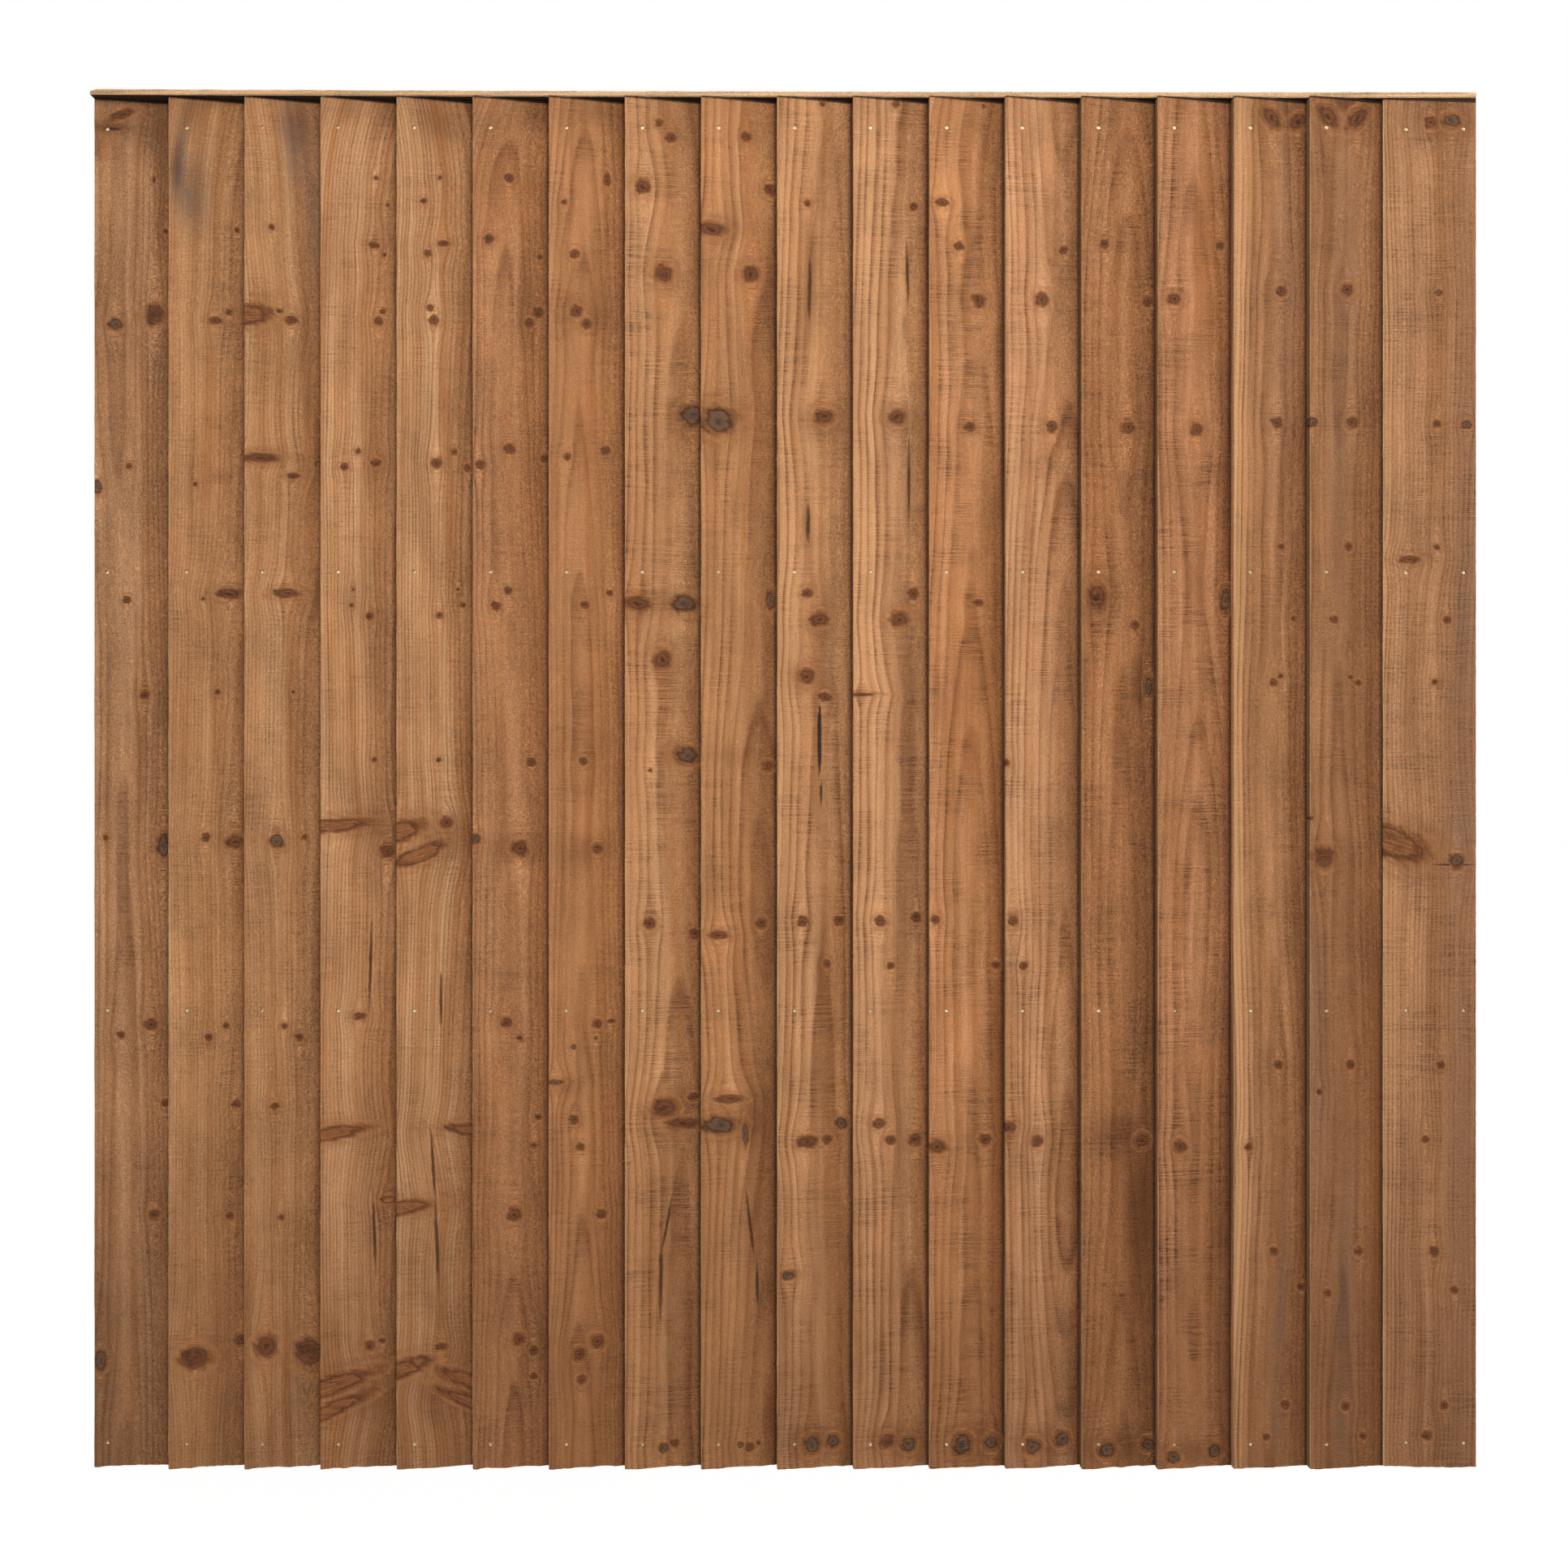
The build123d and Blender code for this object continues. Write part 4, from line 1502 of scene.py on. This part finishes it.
def choose_boards() -> list[FeatherBoard]:
    """The boards from left to right, each with its tone, grain, knots and patches.

    Returns:
        One FeatherBoard for each CAD board.
    """
    return [
        FeatherBoard(
            1, dipped(1, pale="C0906A", mid="AC7A52", rings=0.5, mottle=0.9, saw=0.35, flecks=0.8),
            pith=40, depth=60, taper=0.004, spacing=3.6,
            knots=sound((78, 1705, 5, 10), (93, 1637, 8), (46, 1325, 8), (43, 1148, 10), (66, 1022, 12),
                        (16, 833, 8), (35, 572, 10), (74, 585, 16), (92, 481, 10), (78, 333, 14))
            + dead((28, 1512, 19, 16), (5, 1297, 12, 19), (90, 823, 16, 35), (9, 141, 16, 28))
            + ringed((79, 1527, 24, 28)) + [Knot(36, 1790, 34, 13, KnotKind.SOUND, 0, 0.35)]
            + splits((24, 1771, 34, 5)),
            # The tall dark strip near the right edge is painted shade by the next board's step.
            patches=stains_and_shade(Tint.DARK, (60, 1775, 130, 80, 0.3), (92, 900, 26, 1800, 0.25),
                           (24, 1773, 56, 14, 0.9), (6, 1745, 16, 36, 0.6), (90, 1700, 16, 220, 0.4),
                           (8, 150, 40, 420, 0.4))
            + stains_and_shade(Tint.WARM, (14, 1750, 26, 40, 0.5))),
        FeatherBoard(
            2, dipped(2, rings=0.38, flecks=0.55), flare=-14, pith=104, depth=22, taper=0.012,
            spacing=4.0,
            knots=sound((88, 1638, 8), (60, 1517, 16, 10), (78, 1529, 9), (35, 1300, 6), (45, 1149, 5),
                        (78, 1156, 32, 14), (63, 1026, 8), (48, 833, 12), (85, 828, 21), (74, 584, 8),
                        (52, 569, 10), (87, 480, 11), (79, 332, 10), (93, 168, 16))
            + ringed((34, 146, 40, 30)),
            patches=stains_and_shade(Tint.GREY, (30, 1690, 46, 100, 0.6), (8, 1735, 14, 110, 0.75))
            + stains_and_shade(Tint.DARK, (5, 1725, 9, 60, 0.7), (16, 1795, 30, 60, 0.5), (30, 1670, 36, 130, 0.3),
                     (68, 1311, 30, 16, 0.4))
            + stains_and_shade(Tint.WARM, (52, 1400, 17, 260, 0.55))),
        FeatherBoard(
            3, dipped(3, pale="C39369", rings=0.4, flecks=0.55), flare=12, pith=96, depth=20, taper=0.012,
            spacing=4.1,
            knots=sound((36, 1639, 8), (46, 1529, 8), (61, 1517, 16, 12),
                        (21, 1334, 51, 12), (63, 1312, 16, 8), (54, 1156, 32, 12), (63, 1026, 5),
                        (77, 834, 8), (52, 584, 8), (71, 569, 11), (40, 479, 10), (48, 331, 9),
                        (29, 162, 28, 30)) + dead((42, 828, 18)) + ringed((84, 152, 40, 38))
            + branches((0, 1522, 63, 28, 0.1)),
            patches=stains_and_shade(Tint.GREY, (76, 1745, 42, 130, 0.6), (92, 1650, 18, 160, 0.5))
            + stains_and_shade(Tint.DARK, (80, 1780, 50, 60, 0.4), (30, 1336, 60, 26, 0.35),
                     (78, 1480, 10, 260, 0.35))
            + stains_and_shade(Tint.WARM, (78, 1350, 16, 330, 0.55))),
        FeatherBoard(
            4, dipped(4, pale="C5966E", rings=0.6), flare=-22, pith=108, depth=18, taper=0.011,
            spacing=4.2,
            knots=sound((72, 1706, 6), (87, 1671, 5), (70, 1617, 14, 8), (83, 1605, 6), (81, 1530, 8),
                        (75, 1517, 11), (49, 1344, 8), (72, 1329, 14, 10), (32, 1323, 10), (43, 1161, 4),
                        (41, 1140, 6), (64, 1126, 10), (70, 936, 7), (87, 815, 19),
                        (51, 597, 16, 9), (64, 161, 14), (80, 167, 8))
            + branches((6, 848, 112, 17, 0.08), (4, 441, 112, 17, 0.15), (88, 353, 18, 9),
                       (4, 108, 117, 24, 0.28), (4, 74, 117, 20, 0.42))
            + splits((65, 666, 4, 118, 0.03), (70, 310, 4.5, 100, -0.04)),
            patches=stains_and_shade(Tint.WARM, (30, 448, 66, 24, 0.6), (84, 1400, 14, 500, 0.45))
            + stains_and_shade(Tint.DARK, (60, 100, 90, 70, 0.35), (80, 1793, 40, 40, 0.5), (20, 1795, 30, 36, 0.4),
                     (60, 850, 90, 34, 0.35))),
        FeatherBoard(
            5, dipped(5, pale="C6986F", rings=0.6), flare=16, pith=110, depth=16, taper=0.011,
            spacing=4.2,
            knots=sound((57, 1706, 6), (36, 1674, 8), (61, 1619, 16, 8), (41, 1605, 10), (44, 1533, 10),
                        (49, 1517, 13), (75, 1344, 9), (52, 1328, 14), (92, 1323, 10), (80, 1162, 5),
                        (86, 1141, 8), (56, 1127, 9), (55, 936, 7), (65, 853, 16), (59, 160, 16, 10))
            + branches((2, 841, 64, 26, 0.2), (30, 811, 64, 20, 0.4), (102, 445, 76, 15, -0.1),
                       (0, 344, 90, 18, 0.12), (0, 131, 82, 23, 0.25), (100, 112, 86, 20, -0.35),
                       (100, 82, 86, 17, -0.5))
            + splits((58, 616, 4, 70), (48, 400, 4, 100, -0.06), (53, 295, 5, 130, -0.04)),
            patches=stains_and_shade(Tint.WARM, (25, 347, 50, 22, 0.6), (88, 900, 14, 1300, 0.3),
                           (70, 1330, 10, 420, 0.4))
            + stains_and_shade(Tint.DARK, (62, 1780, 70, 60, 0.5), (60, 835, 100, 60, 0.4), (60, 105, 90, 70, 0.35))),
        FeatherBoard(
            6, dipped(6, pale="C48C62", mid="AE764C", rings=0.5, flecks=0.75), flare=-26, pith=52,
            depth=40, taper=0.01, spacing=4.6,
            knots=sound((48, 1705, 12), (22, 1623, 12), (88, 1602, 8), (86, 1529, 14), (74, 1514, 12),
                        (49, 1347, 14), (95, 1335, 12), (11, 1325, 12), (47, 1160, 10), (31, 1139, 12),
                        (77, 933, 12), (62, 819, 21), (45, 589, 14), (62, 568, 7), (86, 463, 9),
                        (80, 425, 8), (55, 335, 18), (60, 170, 16), (80, 154, 12), (80, 120, 10))
            + dead((4, 832, 14)),
            patches=stains_and_shade(Tint.WARM, (92, 900, 20, 1900, 0.6), (76, 1100, 12, 900, 0.3),
                           (48, 1700, 60, 120, 0.4))
            + stains_and_shade(Tint.DARK, (70, 1790, 50, 40, 0.45), (80, 1520, 30, 90, 0.5),
                     (50, 820, 100, 46, 0.4))),
        FeatherBoard(
            7, dipped(7, pale="B98459", mid="A46D44", rings=0.5), pith=50, depth=26, taper=0.016,
            spacing=4.8,
            knots=sound((77, 1704, 10, 17), (21, 1672, 8), (35, 1604, 12), (37, 1529, 16), (50, 1512, 14),
                        (25, 1336, 10), (75, 1345, 12), (48, 1141, 11), (80, 1157, 9), (46, 934, 11),
                        (64, 819, 14), (64, 587, 12), (62, 568, 5), (82, 590, 11, 6), (34, 461, 12),
                        (42, 425, 11), (70, 335, 13), (64, 167, 19), (41, 151, 17), (44, 117, 13))
            + dead((33, 557, 7), (10, 511, 22, 7)),
            patches=stains_and_shade(Tint.WARM, (70, 1000, 60, 1700, 0.2))
            + stains_and_shade(Tint.DARK, (48, 1525, 70, 50, 0.4), (60, 1790, 80, 40, 0.35), (50, 815, 90, 50, 0.4),
                     (20, 505, 50, 26, 0.4))),
        FeatherBoard(
            8, dipped(8, pale="C69368", mid="B37C51", rings=0.55, saw=0.8), flare=10, pith=78, depth=34,
            taper=0.012, spacing=7.6,
            knots=sound((46, 1778, 10), (61, 1759, 14), (25, 1692, 20), (17, 1142, 34, 20),
                        (50, 1069, 24, 26), (33, 720, 16), (92, 705, 14), (53, 476, 30, 26),
                        (91, 490, 16, 10), (78, 455, 44, 15), (66, 32, 12), (34, 922, 5))
            + ringed((51, 1579, 24, 26))
            + dead((88, 1392, 30, 30), (52, 27, 14), (78, 1143, 38, 24), (82, 942, 32, 24))
            + splits((56, 322, 4.5, 70, 0.2), (48, 250, 5.5, 120, 0.02)),
            # The tall dark strip near the right edge is painted shade by the next board's step.
            patches=stains_and_shade(Tint.DARK, (66, 470, 60, 70, 0.55), (62, 330, 22, 260, 0.35),
                           (85, 1385, 40, 50, 0.5), (40, 1144, 90, 26, 0.4), (80, 943, 50, 30, 0.45),
                           (90, 950, 18, 1500, 0.3), (50, 1240, 30, 130, 0.3))),
        FeatherBoard(
            9, dipped(9, pale="C08B5F", mid="AB744A", rings=0.6, mottle=0.8), pith=88, depth=30,
            taper=0.01, spacing=8.0, flame=9,
            knots=sound((61, 1760, 14), (92, 1691, 16), (15, 1636, 38, 18), (67, 1579, 22),
                        (88, 928, 14), (24, 705, 26, 12), (80, 720, 14), (39, 488, 36, 11), (65, 27, 12),
                        (76, 32, 8)) + dead((23, 1384, 46, 34), (23, 454, 52, 22), (59, 441, 9, 34),
                                            (53, 31, 9), (92, 1148, 12, 28))
            + splits((66, 318, 5, 90, -0.12), (75, 244, 4.5, 80, -0.03)),
            # The tall dark strip near the right edge is painted shade by the next board's step.
            patches=stains_and_shade(Tint.DARK, (68, 420, 30, 240, 0.35), (40, 455, 90, 60, 0.5),
                           (30, 1384, 60, 50, 0.5), (60, 1060, 60, 150, 0.25), (50, 940, 90, 30, 0.3),
                           (20, 1636, 50, 36, 0.4), (92, 900, 18, 1800, 0.35))),
        FeatherBoard(
            10, dipped(10, pale="CC986D", mid="B27C52", rings=0.6, saw=0.7), pith=70, depth=30,
            taper=0.012, spacing=7.6,
            knots=sound((61, 1803, 8), (41, 1671, 9), (63, 1390, 26, 20), (57, 1122, 24, 19),
                        (40, 1046, 22, 18), (64, 1019, 17, 12), (41, 1156, 14, 12), (35, 723, 14),
                        (83, 723, 13), (67, 666, 10),
                        (41, 432, 28, 16), (67, 434, 14, 12)) + dead((86, 455, 16), (16, 256, 19, 14),
                                                                     (47, 31, 24), (75, 34, 18))
            + splits((59, 894, 3.5, 36), (44, 1560, 5, 90, 0.02), (42, 1249, 5, 50))
            + [Knot(57, 963, 5, 82, KnotKind.POCKET)],
            patches=stains_and_shade(Tint.DARK, (44, 1578, 15, 150, 0.55), (41, 1249, 14, 80, 0.5),
                           (64, 600, 24, 900, 0.3), (66, 1120, 34, 110, 0.5), (40, 1045, 60, 40, 0.4),
                           (60, 1385, 50, 50, 0.4), (50, 36, 80, 46, 0.45))
            + stains_and_shade(Tint.WARM, (84, 300, 30, 600, 0.45))
            + stains_and_shade(Tint.STRAW, (16, 1300, 30, 1200, 0.3))),
        FeatherBoard(
            11, dipped(11, pale="CE9A70", mid="B58056", rings=0.62, saw=0.7), pith=78, depth=26,
            taper=0.012, spacing=8.2,
            knots=sound((58, 1803, 10), (82, 1669, 10), (59, 1390, 24, 20), (62, 1122, 26, 20),
                        (12, 1022, 34, 5), (81, 1156, 14, 16), (37, 723, 14), (85, 728, 14),
                        (51, 664, 10), (35, 456, 17, 14),
                        (51, 433, 14), (83, 433, 17)) + ringed((46, 36, 20)) + dead((74, 31, 20))
            + splits((73, 1580, 4, 70, -0.03), (75, 1305, 4, 110)),
            patches=stains_and_shade(Tint.DARK, (73, 1588, 8, 60, 0.6), (71, 1510, 8, 50, 0.6),
                           (75, 1305, 9, 140, 0.6), (66, 600, 16, 700, 0.3), (70, 1100, 26, 200, 0.4),
                           (60, 1390, 50, 40, 0.35), (60, 36, 80, 46, 0.45))
            + stains_and_shade(Tint.WARM, (88, 300, 20, 600, 0.35))
            + stains_and_shade(Tint.STRAW, (20, 1250, 44, 1300, 0.35))),
        FeatherBoard(
            12, dipped(12, pale="C48C62", mid="B07648", rings=0.55, saw=0.8), flare=-14, pith=60,
            depth=34, taper=0.014, spacing=7.4, flame=10,
            knots=sound((74, 1801, 6), (18, 1671, 17, 10), (41, 1614, 13), (67, 1544, 18), (55, 1376, 14),
                        (9, 725, 12), (66, 1144, 14, 8), (90, 664, 11), (12, 426, 25, 18), (76, 434, 16))
            + dead((45, 31, 24, 28), (84, 32, 20)),
            patches=stains_and_shade(Tint.WARM, (92, 500, 26, 1000, 0.55), (60, 1100, 50, 500, 0.3))
            # The tall dark strip near the right edge is painted shade by the next board's step.
            + stains_and_shade(Tint.DARK, (90, 1000, 16, 1800, 0.3), (60, 34, 90, 46, 0.4))),
        FeatherBoard(
            13, dipped(13, pale="CA966E", mid="B47D54", rings=0.56, saw=0.7), pith=86, depth=26,
            taper=0.014, spacing=7.2, flame=17,
            knots=sound((79, 1611, 12), (50, 1544, 18), (63, 1377, 15), (11, 724, 14), (25, 664, 11),
                        (2, 932, 9), (6, 452, 19, 14), (44, 433, 16)) + dead((37, 29, 22), (77, 37, 20)),
            # The tall dark strip near the right edge is painted shade by the next board's step.
            patches=stains_and_shade(Tint.DARK, (96, 900, 18, 1800, 0.4), (55, 34, 90, 46, 0.4))
            + stains_and_shade(Tint.STRAW, (12, 1400, 16, 900, 0.2))),
        FeatherBoard(
            14, dipped(14, pale="BE855A", mid="AA7045", rings=0.5, saw=0.8, flecks=0.9), pith=64,
            depth=36, taper=0.012, spacing=6.4, flame=12,
            knots=sound((32, 1617, 12), (91, 1544, 14), (64, 1376, 18), (22, 1150, 26, 34), (73, 1114, 12),
                        (83, 431, 19)) + dead((92, 1033, 12, 28), (35, 25, 22), (92, 29, 18)),
            # The tall dark strip near the right edge is painted shade by the next board's step.
            patches=stains_and_shade(Tint.DARK, (92, 900, 36, 1900, 0.45), (5, 1045, 20, 60, 0.5),
                           (24, 1150, 40, 70, 0.5), (80, 1035, 30, 60, 0.4), (50, 27, 90, 40, 0.4),
                           (80, 350, 44, 190, 0.5), (50, 440, 80, 60, 0.4))
            + stains_and_shade(Tint.WARM, (84, 330, 30, 300, 0.5))),
        FeatherBoard(
            15, dipped(15, pale="C68C64", mid="A77046", rings=0.55, saw=0.9, flecks=0.6), pith=58,
            depth=30, taper=0.012, spacing=6.4, flame=15,
            knots=sound((86, 1617, 12), (23, 1544, 18, 15), (54, 1373, 17, 19), (31, 425, 17))
            + dead((93, 1148, 14, 36), (22, 16, 18), (79, 21, 18)),
            # The tall dark strip near the right edge is painted shade by the next board's step.
            patches=stains_and_shade(Tint.DARK, (97, 900, 24, 1900, 0.5), (50, 22, 90, 36, 0.4))
            + stains_and_shade(Tint.WARM, (74, 1600, 34, 220, 0.5))),
        FeatherBoard(
            16, dipped(16, pale="BC875F", mid="9D6C44", rings=0.5, flecks=0.6), pith=60, depth=40,
            taper=0.006, spacing=4.4,
            knots=sound((66, 1556, 14), (60, 1382, 16), (66, 1218, 9), (83, 1123, 8), (55, 1038, 11),
                        (65, 1047, 7), (62, 533, 12), (21, 425, 10), (56, 286, 12), (94, 238, 11),
                        (72, 83, 12), (46, 41, 10))
            + [Knot(53, 1784, 24, 32, KnotKind.SOUND, -0.45), Knot(90, 1782, 24, 24, KnotKind.SOUND, 0.5)],
            patches=stains_and_shade(Tint.GREY, (70, 1500, 40, 600, 0.25), (66, 190, 16, 360, 0.55))
            + stains_and_shade(Tint.STRAW, (4, 950, 13, 2600, 0.95), (16, 950, 12, 2600, 0.55))
            # The tall dark strip near the right edge is painted shade by the next board's step.
            + stains_and_shade(Tint.DARK, (60, 1795, 80, 36, 0.5), (92, 900, 14, 1800, 0.4))),
        FeatherBoard(
            17, dipped(17, pale="B07E57", mid="966642", rings=0.5, mottle=0.8, flecks=0.6), pith=50,
            depth=40, taper=0.006, spacing=4.4,
            knots=sound((52, 1557, 17), (59, 1382, 17), (54, 1218, 11), (34, 1121, 11), (57, 1045, 7),
                        (68, 1038, 9), (57, 533, 12), (14, 498, 9), (68, 286, 12), (25, 232, 11),
                        (50, 82, 12), (74, 41, 10))
            + dead((4, 1381, 13), (3, 859, 6)) + ringed((20, 808, 28))
            + [Knot(26, 1785, 26, 28, KnotKind.SOUND, -0.35), Knot(66, 1784, 24, 32, KnotKind.SOUND, 0.5)],
            patches=stains_and_shade(Tint.GREY, (50, 1450, 34, 700, 0.3), (50, 170, 22, 380, 0.6),
                           (10, 560, 24, 340, 0.45))
            # The tall dark strip near the right edge is painted shade by the next board's step.
            + stains_and_shade(Tint.DARK, (55, 700, 60, 1300, 0.2), (50, 1803, 90, 26, 0.8),
                     (92, 900, 14, 1800, 0.4), (22, 808, 50, 60, 0.3))
            + stains_and_shade(Tint.WARM, (88, 400, 16, 900, 0.5))),
        FeatherBoard(
            18, dipped(18, pale="BE8C66", mid="A4744E", rings=0.46, saw=0.75, flecks=0.6), pith=150,
            depth=30, taper=0.006, spacing=5.4, lap_step=600,
            knots=sound((63, 1779, 17), (71, 1380, 11), (71, 1217, 8), (35, 1201, 28, 10), (84, 1121, 10),
                        (68, 1039, 9), (76, 533, 11), (56, 434, 10), (67, 286, 14),
                        (94, 235, 11), (80, 82, 11), (58, 43, 13))
            + dead((90, 1781, 23, 19), (73, 1554, 11, 8), (110, 1379, 15, 11), (97, 802, 20))
            + branches((0, 830, 108, 44, -0.3)) + splits((93, 797, 58, 3)),
            patches=stains_and_shade(Tint.GREY, (108, 900, 44, 1900, 0.4))
            + stains_and_shade(Tint.DARK, (80, 1780, 90, 60, 0.45), (40, 820, 90, 60, 0.35))
            + stains_and_shade(Tint.STRAW, (3, 850, 12, 2200, 0.6), (18, 500, 16, 900, 0.3))),
    ]


def main() -> None:
    """Builds and dresses the whole panel and its studio."""
    logging.basicConfig(level=logging.INFO, format="%(name)s %(message)s")
    bpy.context.scene.view_settings.view_transform = "Standard"
    BoardWall(choose_boards()).build()
    BackFrame().build()
    Studio().build()
    deselect()


if __name__ == "__main__":
    main()
